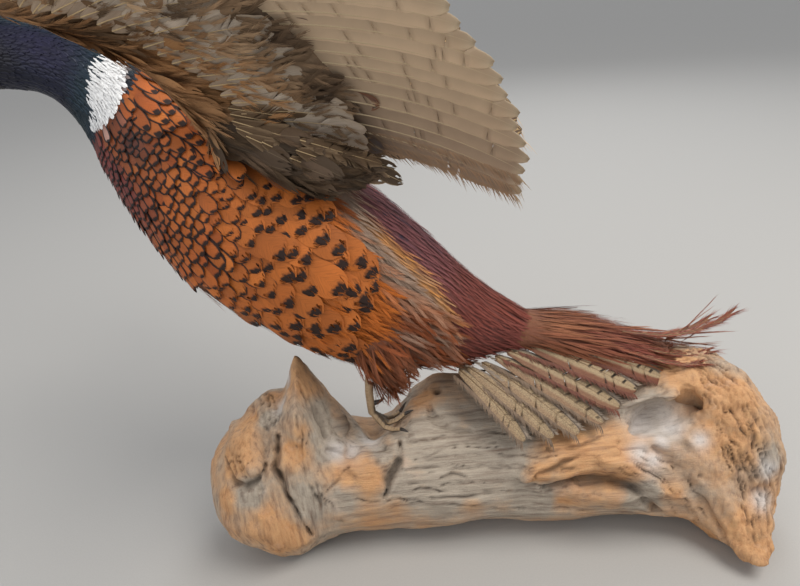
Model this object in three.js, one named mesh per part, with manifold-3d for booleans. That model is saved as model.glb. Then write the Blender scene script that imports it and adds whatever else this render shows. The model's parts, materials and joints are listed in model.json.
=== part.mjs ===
// A mounted cock pheasant, wings raised, standing on a weathered driftwood log.
// Millimetres, +Z up, the bird facing -X; the origin is on the floor under the middle of the log.
import * as THREE from 'three';
import { mergeVertices } from 'three/addons/utils/BufferGeometryUtils.js';
import Module from 'manifold-3d';

const wasm = await Module();
wasm.setup();

const gap = 0.3;                      // clearance between neighbouring pieces
const around = 18;                    // facets round the body
const midY = 15;                      // the bird's plane of symmetry
const sides = { left: -1, right: 1 };

// ---------- driving dimensions ----------

// Side outline of the bird from the head joint to the tail root, one row per station:
// back x, back z, belly x, belly z, half width.
const bodyRows = [
  [-302, 464, -312, 411, 20],
  [-262, 453, -279, 404, 22],
  [-224, 434, -261, 379, 25],
  [-190, 412, -251, 338, 42],
  [-150, 388, -231, 288, 57],
  [-110, 362, -198, 239, 65],
  [-60, 325, -136, 190, 65],
  [-15, 279, -65, 156, 53],
  [25, 233, -4, 149, 37],
  [64, 197, 42, 154, 25],
];
const neckEnd = 2.35;                 // stations where the body is parted into neck, trunk and rump
const trunkEnd = 7.75;
const headRows = [
  [-302, 464, -312, 411, 20],
  [-316, 470, -322, 413, 19.5],
  [-331, 469, -334, 420, 17],
  [-344, 460, -344, 429, 11.5],
  [-351, 452, -350, 433, 7],
];
const bill = { baseX: -351, tipX: -381, top: 452, mouth: 441, bottom: 434, tipZ: 434, half: 6.5 };
const eye = { x: -329, z: 449, radius: 5.2, headHalf: 17.2, proud: 2.2 };
const wattle = { x: -326, z: 441, halfX: 20, halfZ: 21.5, thick: 1.6, inner: 6, reach: 30 };
const earTuft = { x: -302, z: 461, offset: 12, length: 17, radius: 3.5 };

const tailRows = [
  [62, 196, 42, 158, 25],
  [100, 186, 90, 156, 34],
  [135, 171, 128, 150, 36],
  [172, 154, 168, 143, 30],
  [207, 138, 205, 133, 12],
];
// Loose feathers that curl off the tail: where each bends upwards (x, y), and its tip (x, z).
const curls = [[198, 8, 243, 172], [190, 22, 232, 160], [194, 0, 222, 140]];
const curl = { back: 40, rootZ: 152, ahead: 14, bendZ: 138, aside: 4, half: 4, thick: 1.6 };
const rectrix = { thick: 1.8, notch: 0.1, bow: 4 };
// Left tail feathers: root x, y, z and tip x, y, z.
const rectrices = [
  [75, 6, 172, 152, -20, 140],
  [60, 2, 170, 134, -30, 138],
  [45, -2, 163, 120, -38, 128],
  [30, -5, 158, 112, -50, 114],
  [15, -8, 156, 78, -56, 116],
  [2, -10, 156, 48, -58, 116],
];

const wing = {
  tilt: THREE.MathUtils.degToRad(55), // how steeply the wing rises
  rootY: 45,                          // wing hinge, out from the plane of symmetry
  rootZ: 372,
  camber: 14,                         // bow of the wing from its front to its rear edge
  bowX: -110,                         // where along the body the bow is highest
  bowReach: 130,
};
// Wing outlines in the wing's own plane: x along the body, s out along the wing.
const leadEdge = [[-163, -22], [-186, 50], [-214, 84], [-252, 112], [-262, 148], [-243, 196]];
const covertEdge = [[-58, -36], [-62, 30], [-108, 95], [-150, 130], [-182, 165], [-212, 196]];
const armThick = [15, 13, 10, 7, 5, 3];
const armLine = [[-98, -10], [-124, 46], [-164, 96], [-205, 130], [-218, 188]];
// Flight feathers: the stretch of the arm they spring from, their angle and length at each end of it,
// the extra length between, the depth of the notches between tips, and the points across each tip.
const secondaries = {
  count: 14, from: 0, to: 0.57, angle: [-20, 2], length: [181, 170], bulge: 8, notch: [0.05, 0.05], split: [0.5],
};
const primaries = {
  count: 10, from: 0.574, to: 1, angle: [4, 82], length: [170, 162], bulge: 26, notch: [0.08, 0.42],
  split: [0.3, 0.7],
};
const quillThick = 0.8;
const foldForward = { left: 0, right: THREE.MathUtils.degToRad(12) };

const legs = {
  left: { hip: [-62, 205], knee: [-58, 174], ankle: [-66, 150], soleX: -74, y: -13, thigh: [32, 27, 9] },
  right: { hip: [-20, 205], knee: [-12, 177], ankle: [-4, 160], soleX: 0, y: 43, thigh: [30, 24, 9] },
};
const shank = { radius: 4.3, footRadius: 3.6, spur: 11 };
const toe = { radius: 2.7, length: 27, arch: 16, turns: [-0.6, 0, 0.6], claw: 8 };

const log = {
  axisZ: 56,
  stations: 36,
  around: 16,
  foot: 2.5,                          // how far the arched stretches stand off the floor
  feet: [[-190, -138], [-52, 96], [196, 262]],
};
// Log radius and axis offset along its length: x, radius, axis y.
const logRows = [
  [-226, 12, -4], [-219, 36, -4], [-196, 58, -6], [-150, 60, -8], [-95, 56, -4], [-40, 60, -2],
  [30, 60, -4], [100, 60, -6], [160, 62, -10], [206, 62, -18], [242, 54, -28], [265, 36, -34], [276, 12, -36],
];
// Lumps and dips on the log: x, angle from the back face, height, half length, half angle.
const lumps = [
  [-127, 92, 58, 15, 36],             // horn
  [-160, 96, 34, 28, 40],             // its shoulder
  [-77, 72, -34, 28, 42],             // saddle behind the left foot
  [-96, 80, 34, 8, 14],               // broken stub
  [-4, 60, 18, 40, 30],               // ridge behind the feet
  [-178, 165, 8, 26, 34],             // burl
  [-158, -140, 10, 22, 26],           // lobe under the burl
  [204, 76, 28, 44, 44],              // high right shoulder
  [240, 96, 16, 24, 40],              // its far end
  [226, -148, 54, 24, 18],            // beak on the floor
  [150, 112, 12, 34, 16],             // brow over the hollow
  [150, -170, 12, 60, 14],            // jaw under the hollow
  [70, 152, 7, 24, 10],               // torn tongue
  [40, -56, 15, 60, 22],              // heel at the back
  [-165, -56, 14, 26, 22],            // second heel
];
const hollow = { x: 165, y: -64, z: 114, halfX: 38, halfY: 34, halfZ: 19, turn: -0.12 };
const knotHole = { x: 190, y: -52, z: 128, radius: 13 };

// ---------- materials ----------

const finish = (color, roughness) => new THREE.MeshStandardMaterial({ color, roughness, metalness: 0 });
const looks = {
  neck: finish(0x18203a, 0.5),
  breast: finish(0xa8521f, 0.75),
  rump: finish(0x6f2b2a, 0.7),
  tail: finish(0x8a4a30, 0.75),
  barred: finish(0xa08360, 0.75),
  covert: finish(0x6e5743, 0.85),
  quill: finish(0xb7a184, 0.7),
  wattle: finish(0xa81c1c, 0.7),
  horn: finish(0xb9a673, 0.4),
  claw: finish(0x2a2320, 0.4),
  scale: finish(0x9c8157, 0.6),
  eye: finish(0x1c0f08, 0.05),
  wood: finish(0xb08a63, 0.85),
};

// ---------- shape helpers ----------

const vec = (x, y, z) => new THREE.Vector3(x, y, z);

// Reads a table of rows at a fractional row number, along a smooth curve through them.
function rowAt(rows, t) {
  const i = Math.min(Math.floor(t), rows.length - 2);
  const f = t - i;
  const row = (k) => rows[Math.max(0, Math.min(rows.length - 1, k))];
  return rows[0].map((_, c) => {
    const [a, b, d, e] = [row(i - 1)[c], row(i)[c], row(i + 1)[c], row(i + 2)[c]];
    return 0.5 * (2 * b + (d - a) * f + (2 * a - 5 * b + 4 * d - e) * f * f + (3 * b - a - 3 * d + e) * f ** 3);
  });
}

// Closed solid through a row of rings that have the same number of points.
function ringSolid(rings) {
  const n = rings[0].length;
  const points = rings.flat();
  const centre = (ring) => ring.reduce((sum, p) => sum.add(p), vec(0, 0, 0)).divideScalar(n);
  points.push(centre(rings[0]), centre(rings[rings.length - 1]));
  const [first, last] = [points.length - 2, points.length - 1];
  const index = [];
  for (let j = 0; j < n; j++) {
    const k = (j + 1) % n;
    index.push(first, k, j);
    for (let i = 0; i < rings.length - 1; i++) {
      const [a, b] = [i * n, (i + 1) * n];
      index.push(a + j, a + k, b + k, a + j, b + k, b + j);
    }
    const end = (rings.length - 1) * n;
    index.push(last, end + j, end + k);
  }
  return indexed(points, index);
}

// Thin closed sheet between two grids of points, given column by column.
function sheetSolid(upper, lower) {
  const [wide, tall] = [upper.length, upper[0].length];
  const points = [...upper.flat(), ...lower.flat()];
  const at = (layer, i, j) => (layer * wide + i) * tall + j;
  const index = [];
  const quad = (a, b, c, d) => index.push(a, b, c, a, c, d);
  for (let i = 0; i < wide - 1; i++) {
    for (let j = 0; j < tall - 1; j++) {
      quad(at(0, i, j), at(0, i + 1, j), at(0, i + 1, j + 1), at(0, i, j + 1));
      quad(at(1, i, j), at(1, i, j + 1), at(1, i + 1, j + 1), at(1, i + 1, j));
    }
    quad(at(0, i, 0), at(1, i, 0), at(1, i + 1, 0), at(0, i + 1, 0));
    quad(at(0, i, tall - 1), at(0, i + 1, tall - 1), at(1, i + 1, tall - 1), at(1, i, tall - 1));
  }
  for (let j = 0; j < tall - 1; j++) {
    quad(at(0, 0, j), at(0, 0, j + 1), at(1, 0, j + 1), at(1, 0, j));
    quad(at(0, wide - 1, j), at(1, wide - 1, j), at(1, wide - 1, j + 1), at(0, wide - 1, j + 1));
  }
  return indexed(points, index);
}

// Closed geometry from points and triangles, turned the right way out.
function indexed(points, index) {
  const geometry = new THREE.BufferGeometry();
  geometry.setAttribute('position', new THREE.Float32BufferAttribute(points.flatMap((p) => p.toArray()), 3));
  geometry.setIndex(index);
  return outward(geometry);
}

// Turns a closed geometry the right way out.
function outward(geometry) {
  const at = geometry.getAttribute('position');
  const index = geometry.getIndex().array;
  const [a, b, c] = [vec(0, 0, 0), vec(0, 0, 0), vec(0, 0, 0)];
  let volume = 0;
  for (let i = 0; i < index.length; i += 3) {
    a.fromBufferAttribute(at, index[i]);
    b.fromBufferAttribute(at, index[i + 1]);
    c.fromBufferAttribute(at, index[i + 2]);
    volume += a.dot(b.cross(c));
  }
  if (volume < 0) geometry.setIndex(Array.from(index).reverse());
  return geometry;
}

function toSolid(geometry) {
  const plain = geometry.clone();
  plain.deleteAttribute('normal');
  plain.deleteAttribute('uv');
  const merged = mergeVertices(plain, 1e-4);
  return new wasm.Manifold(new wasm.Mesh({
    numProp: 3,
    vertProperties: new Float32Array(merged.getAttribute('position').array),
    triVerts: new Uint32Array(merged.getIndex().array),
  }));
}

function fromSolid(solid) {
  const mesh = solid.getMesh();
  const geometry = new THREE.BufferGeometry();
  geometry.setAttribute('position', new THREE.BufferAttribute(mesh.vertProperties, 3));
  geometry.setIndex(new THREE.BufferAttribute(mesh.triVerts, 1));
  return geometry;
}

const join = (...shapes) => fromSolid(shapes.map(toSolid).reduce((all, next) => all.add(next)));
const cut = (shape, ...tools) =>
  fromSolid(tools.map(toSolid).reduce((rest, tool) => rest.subtract(tool), toSolid(shape)));
const common = (shape, tool) => fromSolid(toSolid(shape).intersect(toSolid(tool)));

// Oval ring between a back point and a belly point of the bird's side outline.
function ovalRing([backX, backZ, bellyX, bellyZ, half], grow = 0, facets = around) {
  const [cx, cz] = [(backX + bellyX) / 2, (backZ + bellyZ) / 2];
  const tall = Math.hypot(backX - bellyX, backZ - bellyZ) / 2;
  const [ux, uz] = [(backX - cx) / tall, (backZ - cz) / tall];
  return Array.from({ length: facets }, (_, j) => {
    const a = (j / facets) * 2 * Math.PI;
    const lift = (tall + grow) * Math.cos(a);
    return vec(cx + ux * lift, midY + (half + grow) * Math.sin(a), cz + uz * lift);
  });
}

function ovalSolid(rows, places, grow = 0, facets = around) {
  return ringSolid(places.map((t) => ovalRing(rowAt(rows, t), grow, facets)));
}

const evenly = (from, to, steps) => Array.from({ length: steps + 1 }, (_, i) => from + ((to - from) * i) / steps);

// Round solid along a curve, with a radius at each end and at the middle.
function taperedTube(points, radii, around = 8, steps = 8, flat = 1) {
  const curve = new THREE.CatmullRomCurve3(points);
  const frames = curve.computeFrenetFrames(steps, false);
  const rings = Array.from({ length: steps + 1 }, (_, i) => {
    const at = curve.getPointAt(i / steps);
    const radius = rowAt(radii.map((r) => [r]), (i / steps) * (radii.length - 1))[0];
    return Array.from({ length: around }, (_, j) => {
      const a = (j / around) * 2 * Math.PI;
      return at.clone()
        .addScaledVector(frames.normals[i], radius * flat * Math.cos(a))
        .addScaledVector(frames.binormals[i], radius * Math.sin(a));
    });
  });
  return ringSolid(rings);
}

function ellipsoid(x, y, z, halfX, halfY, halfZ, turn = 0, facets = 12) {
  const ball = new THREE.SphereGeometry(1, facets, Math.round(facets / 1.5));
  ball.scale(halfX, halfY, halfZ);
  ball.rotateY(turn);
  ball.translate(x, y, z);
  return ball;
}

// Flat feather blade bent through three points, with its face towards a given direction.
function blade(root, middle, tip, halfWidth, thick, face, steps = 5) {
  const curve = new THREE.QuadraticBezierCurve3(root, middle, tip);
  const rings = Array.from({ length: steps + 1 }, (_, i) => {
    const t = i / steps;
    const along = curve.getTangent(t);
    const side = along.clone().cross(face).normalize();
    const up = side.clone().cross(along).normalize();
    const belly = 0.55 + 0.45 * Math.sin(Math.PI * Math.min(1, t * 1.1 + 0.1));
    const wide = halfWidth * belly * Math.sqrt(1.02 - t ** 4);
    const at = curve.getPoint(t);
    return [[-1, 0], [0, 0.5], [1, 0], [0, -0.5]].map(([u, v]) =>
      at.clone().addScaledVector(side, u * Math.max(wide, 1)).addScaledVector(up, v * thick));
  });
  return ringSolid(rings);
}

// ---------- log ----------

function logRadius(x, degrees, radius) {
  const near = (d) => Math.abs(((d + 540) % 360) - 180);
  const ripple = 1.5 * Math.sin(x / 17 + degrees / 23) + 1.2 * Math.sin(x / 31 - degrees / 11);
  return lumps.reduce((sum, [lx, la, height, halfX, halfA]) => {
    const far = ((x - lx) / halfX) ** 2 + (near(degrees - la) / halfA) ** 2;
    return sum + height * Math.exp(-(far ** 1.5));
  }, radius + ripple);
}

function logShape(grow = 0) {
  const rings = Array.from({ length: log.stations + 1 }, (_, i) => {
    const [x, radius, axisY] = rowAt(logRows, (i / log.stations) * (logRows.length - 1));
    const onFoot = log.feet.some(([from, to]) => x > from && x < to);
    const floor = onFoot ? 0 : log.foot;
    const shrink = Math.min(1, radius / 50);
    return Array.from({ length: log.around }, (_, j) => {
      const degrees = (j / log.around) * 360;
      const a = THREE.MathUtils.degToRad(degrees);
      const r = radius + (logRadius(x, degrees, radius) - radius) * shrink + grow;
      return vec(x, axisY + r * Math.cos(a), Math.max(floor, log.axisZ + r * Math.sin(a)));
    });
  });
  return ringSolid(rings);
}

function driftwood(grow = 0) {
  const { x, y, z, halfX, halfY, halfZ, turn } = hollow;
  const mouth = ellipsoid(x, y, z, halfX - grow, halfY - grow, halfZ - grow, turn);
  const { radius } = knotHole;
  const knot = ellipsoid(knotHole.x, knotHole.y, knotHole.z, radius, radius * 1.6, radius);
  return cut(logShape(grow), mouth, knot);
}

// ---------- bird ----------

const neckPlaces = evenly(0, neckEnd, 6);
const trunkPlaces = evenly(neckEnd, trunkEnd, 13);
const rumpPlaces = evenly(trunkEnd, bodyRows.length - 1, 3);
const body = (grow) => ovalSolid(bodyRows, [...neckPlaces, ...trunkPlaces.slice(1), ...rumpPlaces.slice(1)], grow);
const headSolid = (grow = 0) => ovalSolid(headRows, evenly(gap / 14, headRows.length - 1, 6), grow, 14);

function eyeball(sign, radius) {
  const out = eye.headHalf + eye.proud - eye.radius;
  return ellipsoid(eye.x, midY + sign * out, eye.z, radius, radius, radius, 0, 9);
}

// Bare skin round the eye: the shell over the head that lies inside an oval.
function wattlePlate(sign) {
  const outline = new THREE.Shape();
  outline.absellipse(0, 0, wattle.halfX, wattle.halfZ, 0, 2 * Math.PI);
  const slab = new THREE.ExtrudeGeometry(outline, { depth: wattle.reach, bevelEnabled: false, curveSegments: 4 });
  slab.rotateX(Math.PI / 2);
  slab.translate(wattle.x, midY + (sign > 0 ? wattle.inner + wattle.reach : -wattle.inner), wattle.z);
  const shell = common(headSolid(wattle.thick + gap), slab);
  return cut(shell, headSolid(gap), eyeball(sign, eye.radius + gap), body(gap));
}

function billSolid(jaw, grow = 0) {
  const upper = jaw === 'upper';
  const steps = 5;
  const rings = Array.from({ length: steps + 1 }, (_, i) => {
    const t = i / steps;
    const x = bill.baseX - gap + (bill.tipX - bill.baseX + (upper ? 0 : 5)) * t;
    const hook = upper ? 9 * t ** 3 : 5 * t ** 2;
    const top = upper ? bill.top - 5 * t ** 1.6 - hook : bill.mouth - gap - 3 * t - 0.2 * hook;
    const low = upper ? bill.mouth - 3.2 * t - hook * 0.35 : bill.bottom + 2 * t ** 2;
    const half = bill.half * (1 - 0.75 * t ** 1.5);
    return ovalRing([x, Math.max(top, low + 0.8), x, low, half], grow, 10);
  });
  return ringSolid(rings);
}

function tuft(sign) {
  const y = midY + sign * earTuft.offset;
  const root = vec(earTuft.x, y, earTuft.z);
  const tip = vec(earTuft.x + earTuft.length * 0.75, y + sign * 2, earTuft.z + earTuft.length * 0.65);
  const middle = root.clone().lerp(tip, 0.5).add(vec(0, 0, 1.5));
  const radii = [earTuft.radius, earTuft.radius, 0.6];
  return cut(taperedTube([root, middle, tip], radii, 6, 4), body(gap), headSolid(gap));
}

// Feathers of one half of the tail, as one fan with notched tips.
function tailFan(sign) {
  const face = vec(0.3, sign * 0.75, 0.6).normalize().multiplyScalar(rectrix.thick / 2);
  const steps = [[0, 0]];
  for (let i = 0; i < rectrices.length - 1; i++) steps.push([i + 0.3, 0], [i + 0.5, 1], [i + 0.7, 0]);
  steps.push([rectrices.length - 1, 0]);
  const columns = steps.map(([step, isNotch]) => {
    const [x, y, z, tipX, tipY, tipZ] = rowAt(rectrices, step);
    const mirror = (v) => (sign < 0 ? v : 2 * midY - v);
    const root = vec(x, mirror(y), z);
    const tip = root.clone().lerp(vec(tipX, mirror(tipY), tipZ), 1 - isNotch * rectrix.notch);
    return Array.from({ length: 5 }, (_, j) => {
      const bow = rectrix.bow * Math.sin((Math.PI * j) / 4);
      return root.clone().lerp(tip, j / 4).add(vec(bow * 0.6, sign * bow, bow * 0.6));
    });
  });
  const shifted = (way) => columns.map((column) => column.map((p) => p.clone().addScaledVector(face, way)));
  return sheetSolid(shifted(1), shifted(-1));
}

// A point of the wing plane in space; lift moves it off the plane towards the lower face.
function wingPoint(side, [x, s], lift = 0) {
  const sign = sides[side];
  const turn = foldForward[side];
  const [hx, hs] = leadEdge[0];
  const px = hx + (x - hx) * Math.cos(turn) - (s - hs) * Math.sin(turn);
  const ps = hs + (x - hx) * Math.sin(turn) + (s - hs) * Math.cos(turn);
  const bow = wing.camber * (1 - ((x - wing.bowX) / wing.bowReach) ** 2);
  const off = lift - Math.max(-wing.camber, bow);
  return vec(
    px,
    midY + sign * (wing.rootY + ps * Math.cos(wing.tilt) + off * Math.sin(wing.tilt)),
    wing.rootZ + ps * Math.sin(wing.tilt) - off * Math.cos(wing.tilt),
  );
}

function wingArm(side, grow = 0) {
  const steps = 10;
  const facets = 12;
  const rings = Array.from({ length: steps + 1 }, (_, i) => {
    const t = (i / steps) * (leadEdge.length - 1);
    const front = rowAt(leadEdge, t);
    const back = rowAt(covertEdge, t);
    const thick = rowAt(armThick.map((v) => [v]), t)[0] + grow;
    return Array.from({ length: facets }, (_, j) => {
      const a = (j / facets) * 2 * Math.PI;
      const across = 0.5 - 0.5 * Math.cos(a);
      const span = 1 + grow / 30;
      const place = front.map((v, c) => v + (back[c] - v) * (0.5 + (across - 0.5) * span));
      return wingPoint(side, place, thick * Math.sin(a) * (1.15 - 0.5 * across));
    });
  });
  return cut(ringSolid(rings), body(gap - Math.min(grow, 0)));
}

// Columns of a fan of remiges: the tip of each feather, with a notch between neighbours.
function remigesColumns(set) {
  const rows = 3;
  const steps = [];
  for (let i = 0; i < set.count; i++) steps.push([i, 1], ...set.split.map((part) => [i + part, 0]));
  steps.push([set.count, 1]);
  return steps.map(([step, isNotch]) => {
    const t = step / set.count;
    const root = rowAt(armLine, (set.from + (set.to - set.from) * t) * (armLine.length - 1));
    const angle = THREE.MathUtils.degToRad(THREE.MathUtils.lerp(...set.angle, t));
    const full = THREE.MathUtils.lerp(...set.length, t) + set.bulge * Math.sin(Math.PI * t);
    const length = full * (1 - isNotch * THREE.MathUtils.lerp(...set.notch, t));
    return Array.from({ length: rows }, (_, j) => {
      const reach = (length * j) / (rows - 1);
      const bend = angle + 0.12 - 0.2 * (reach / full);
      return [root[0] + reach * Math.cos(bend), root[1] + reach * Math.sin(bend)];
    });
  });
}

function wingFan(side, set) {
  const face = (lift) => remigesColumns(set).map((column) => column.map((place) => wingPoint(side, place, lift)));
  return cut(sheetSolid(face(quillThick / 2), face(-quillThick / 2)), wingArm(side, gap), body(gap));
}

function scapulars(side) {
  const sign = sides[side];
  const line = [[-158, 50, 380], [-100, 60, 354], [-38, 36, 338]].map(([x, out, z]) => vec(x, midY + sign * out, z));
  return cut(taperedTube(line, [12, 21, 6], 10, 6, 0.45), body(gap), wingArm(side, gap));
}

// Height of the wood under a point of the bird.
function woodTop(x, y) {
  const row = Array.from({ length: 400 }, (_, i) => rowAt(logRows, (i / 400) * (logRows.length - 1)))
    .reduce((best, next) => (Math.abs(next[0] - x) < Math.abs(best[0] - x) ? next : best));
  let best = 0;
  for (let degrees = 20; degrees < 160; degrees += 1) {
    const a = THREE.MathUtils.degToRad(degrees);
    const r = logRadius(x, degrees, row[1]);
    if (Math.abs(row[2] + r * Math.cos(a) - y) < 1.5) best = Math.max(best, log.axisZ + r * Math.sin(a));
  }
  return best;
}

function legParts(side) {
  const leg = legs[side];
  const at = ([x, z]) => vec(x, leg.y, z);
  const soleZ = woodTop(leg.soleX + toe.length * 0.6, leg.y) + toe.arch;
  const sole = [leg.soleX, soleZ];
  const top = [leg.ankle[0] - 5, leg.ankle[1] + 16];
  const middle = [(top[0] + sole[0]) / 2 - 2, (top[1] + sole[1]) / 2];
  const thighLine = [at(leg.hip), at(leg.knee), at(leg.ankle)];
  const thighShape = (grow) => taperedTube(thighLine, leg.thigh.map((r) => r + grow), 12, 5);
  const shankRadii = [shank.radius, shank.radius * 0.85, shank.footRadius];
  const shankShape = (grow) => taperedTube([at(top), at(middle), at(sole)], shankRadii.map((r) => r + grow), 8, 4);
  const toeLine = (turn, from, to) => [0, 0.5, 1].map((part) => {
    const reach = from + (to - from) * part;
    const [x, y] = [leg.soleX + 1 + reach * Math.cos(turn), leg.y + reach * Math.sin(turn)];
    const rest = woodTop(x, y) + toe.radius + gap;
    const hang = soleZ - toe.arch * Math.sin((Math.min(1, reach / toe.length) * Math.PI) / 2) ** 0.8;
    return vec(x, y, Math.max(rest, hang));
  });
  const toeRadii = [toe.radius + 0.5, toe.radius, toe.radius * 0.75];
  const toes = toe.turns.map((turn) => taperedTube(toeLine(turn, 0, toe.length), toeRadii, 6, 4));
  const claws = toe.turns.map((turn) => taperedTube(
    toeLine(turn, toe.length + gap, toe.length + toe.claw), [1.9, 1.5, 0.5], 5, 3));
  const spurRoot = vec(leg.soleX + 1, leg.y, soleZ + 11);
  const spurLine = [[0, 0], [6, 1], [shank.spur, 4]].map(([x, z]) => spurRoot.clone().add(vec(x, 0, z)));
  const spur = taperedTube(spurLine, [2.6, 2, 0.5], 6, 3);
  return { thighShape, shankShape, toes, claws, spur };
}

// ---------- assembly ----------

const pheasant = new THREE.Group();
function add(name, geometry, material) {
  const mesh = new THREE.Mesh(geometry, material);
  mesh.name = name;
  pheasant.add(mesh);
  return geometry;
}

add('driftwood_log', driftwood(), looks.wood);
const woodClear = driftwood(gap);

const stationGap = gap / 40;
add('neck', ovalSolid(bodyRows, neckPlaces), looks.neck);
add('trunk', ovalSolid(bodyRows, [neckEnd + stationGap, ...trunkPlaces.slice(1)]), looks.breast);
add('rump', ovalSolid(bodyRows, [trunkEnd + stationGap, ...rumpPlaces.slice(1)]), looks.rump);

const eyeSockets = [eyeball(-1, eye.radius + gap), eyeball(1, eye.radius + gap)];
add('head', cut(headSolid(), ...eyeSockets), looks.neck);
add('bill_upper', billSolid('upper'), looks.horn);
add('bill_lower', cut(billSolid('lower'), billSolid('upper', gap)), looks.horn);
for (const [side, sign] of Object.entries(sides)) {
  add(`eye_${side}`, eyeball(sign, eye.radius), looks.eye);
  add(`wattle_${side}`, wattlePlate(sign), looks.wattle);
  add(`ear_tuft_${side}`, tuft(sign), looks.neck);
}

const tailPlaces = evenly(gap / 38, tailRows.length - 1, 6);
const coverts = ovalSolid(tailRows, tailPlaces, 0, 12);
const curlBlades = curls.map(([x, y, tipX, tipZ]) => {
  const root = vec(x - curl.back, y, curl.rootZ);
  const bend = vec(x + curl.ahead, y, curl.bendZ);
  return blade(root, bend, vec(tipX, y + curl.aside, tipZ), curl.half, curl.thick, vec(0, 0, 1));
});
const coatTail = join(coverts, ...curlBlades);
add('tail_coverts', cut(coatTail, body(gap), woodClear), looks.tail);
const tailClear = [ovalSolid(tailRows, tailPlaces, gap, 12), body(gap), woodClear];
for (const [side, sign] of Object.entries(sides)) {
  add(`tail_feathers_${side}`, cut(tailFan(sign), ...tailClear), looks.barred);
}

for (const side of Object.keys(sides)) {
  add(`wing_arm_${side}`, wingArm(side), looks.covert);
  add(`scapulars_${side}`, scapulars(side), looks.covert);
  add(`secondaries_${side}`, wingFan(side, secondaries), looks.quill);
  add(`primaries_${side}`, wingFan(side, primaries), looks.quill);
}

for (const side of Object.keys(sides)) {
  const { thighShape, shankShape, toes, claws, spur } = legParts(side);
  add(`thigh_${side}`, cut(thighShape(0), body(gap)), looks.breast);
  const foot = join(shankShape(0), ...toes);
  add(`leg_${side}`, cut(foot, thighShape(gap), body(gap), woodClear), looks.scale);
  add(`spur_${side}`, cut(spur, join(shankShape(gap), ...toes)), looks.claw);
  claws.forEach((claw, i) => add(`claw_${side}_${i + 1}`, cut(claw, woodClear, foot), looks.claw));
}

export default pheasant;
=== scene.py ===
import json
import math
import bmesh
import bpy
import numpy as np
from mathutils import Matrix, Vector
from mathutils.bvhtree import BVHTree
from mathutils.kdtree import KDTree

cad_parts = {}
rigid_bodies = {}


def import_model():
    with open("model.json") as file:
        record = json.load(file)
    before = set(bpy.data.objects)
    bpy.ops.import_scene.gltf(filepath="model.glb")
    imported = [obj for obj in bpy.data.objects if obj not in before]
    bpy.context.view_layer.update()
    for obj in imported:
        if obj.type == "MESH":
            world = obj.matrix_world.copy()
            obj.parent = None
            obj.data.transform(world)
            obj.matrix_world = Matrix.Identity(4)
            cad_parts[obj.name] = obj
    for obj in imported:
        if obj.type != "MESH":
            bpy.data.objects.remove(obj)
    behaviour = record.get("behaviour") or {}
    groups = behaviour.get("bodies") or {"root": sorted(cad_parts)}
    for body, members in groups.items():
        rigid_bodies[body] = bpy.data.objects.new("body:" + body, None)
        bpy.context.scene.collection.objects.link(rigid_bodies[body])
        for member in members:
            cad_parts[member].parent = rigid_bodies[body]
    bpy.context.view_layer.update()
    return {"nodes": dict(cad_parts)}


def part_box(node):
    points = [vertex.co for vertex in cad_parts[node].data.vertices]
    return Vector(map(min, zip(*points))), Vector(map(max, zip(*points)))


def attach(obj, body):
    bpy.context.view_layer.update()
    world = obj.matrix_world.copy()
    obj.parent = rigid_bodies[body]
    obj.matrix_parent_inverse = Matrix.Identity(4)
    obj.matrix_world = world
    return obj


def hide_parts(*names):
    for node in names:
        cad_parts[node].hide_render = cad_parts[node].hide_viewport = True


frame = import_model()
print("frame loaded:", len(frame["nodes"]), "nodes")

# small maths


def linear(code):                       # a six-letter colour code as scene colour
    parts = [int(code[i:i + 2], 16) / 255 for i in (0, 2, 4)]
    return np.array([c / 12.92 if c <= 0.04045 else ((c + 0.055) / 1.055) ** 2.4 for c in parts])


def opaque(code):
    return (*linear(code), 1)


def smoothStep(low, high, x):
    t = np.clip((x - low) / (high - low), 0, 1)
    return t * t * (3 - 2 * t)


def unit(vectors):
    return vectors / np.maximum(np.linalg.norm(vectors, axis=-1, keepdims=True), 1e-9)


def rowAt(rows, t):                     # reads a table at fractional rows, along a smooth curve
    rows = np.asarray(rows, float)
    t = np.clip(np.asarray(t, float), 0, len(rows) - 1 - 1e-6)
    i = np.floor(t).astype(int)
    f = (t - i)[..., None]
    a, b, c, d = (rows[np.clip(i + k, 0, len(rows) - 1)] for k in (-1, 0, 1, 2))
    return 0.5 * (2 * b + (c - a) * f + (2 * a - 5 * b + 4 * c - d) * f ** 2
                  + (3 * b - a - 3 * c + d) * f ** 3)


def noiseAt(points, size, seed):        # smooth noise from -1 to 1
    p = np.asarray(points, float) / size + seed * 17.31
    cell = np.floor(p).astype(np.int64)
    f = p - cell
    f = f * f * (3 - 2 * f)
    total = np.zeros(len(p))
    for corner in range(8):
        step = np.array([corner & 1, corner >> 1 & 1, corner >> 2 & 1])
        q = cell + step
        h = (q[:, 0] * 73856093) ^ (q[:, 1] * 19349663) ^ (q[:, 2] * 83492791)
        h = ((h ^ (h >> 13)) * 1274126177) & 0x7FFFFFFF
        total += np.prod(np.where(step, f, 1 - f), axis=1) * (h % 10007) / 10007
    return total * 2 - 1


def segmentDistance(points, line):      # nearest distance to a run of points, and how far along it
    best = np.full(len(points), 1e9)
    along = np.zeros(len(points))
    for i in range(len(line) - 1):
        a, b = line[i], line[i + 1]
        t = np.clip((points - a) @ (b - a) / max((b - a) @ (b - a), 1e-12), 0, 1)
        far = np.linalg.norm(points - (a + t[:, None] * (b - a)), axis=1)
        nearer = far < best
        best = np.where(nearer, far, best)
        along = np.where(nearer, (i + t) / (len(line) - 1), along)
    return best, along


# node trees


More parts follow.
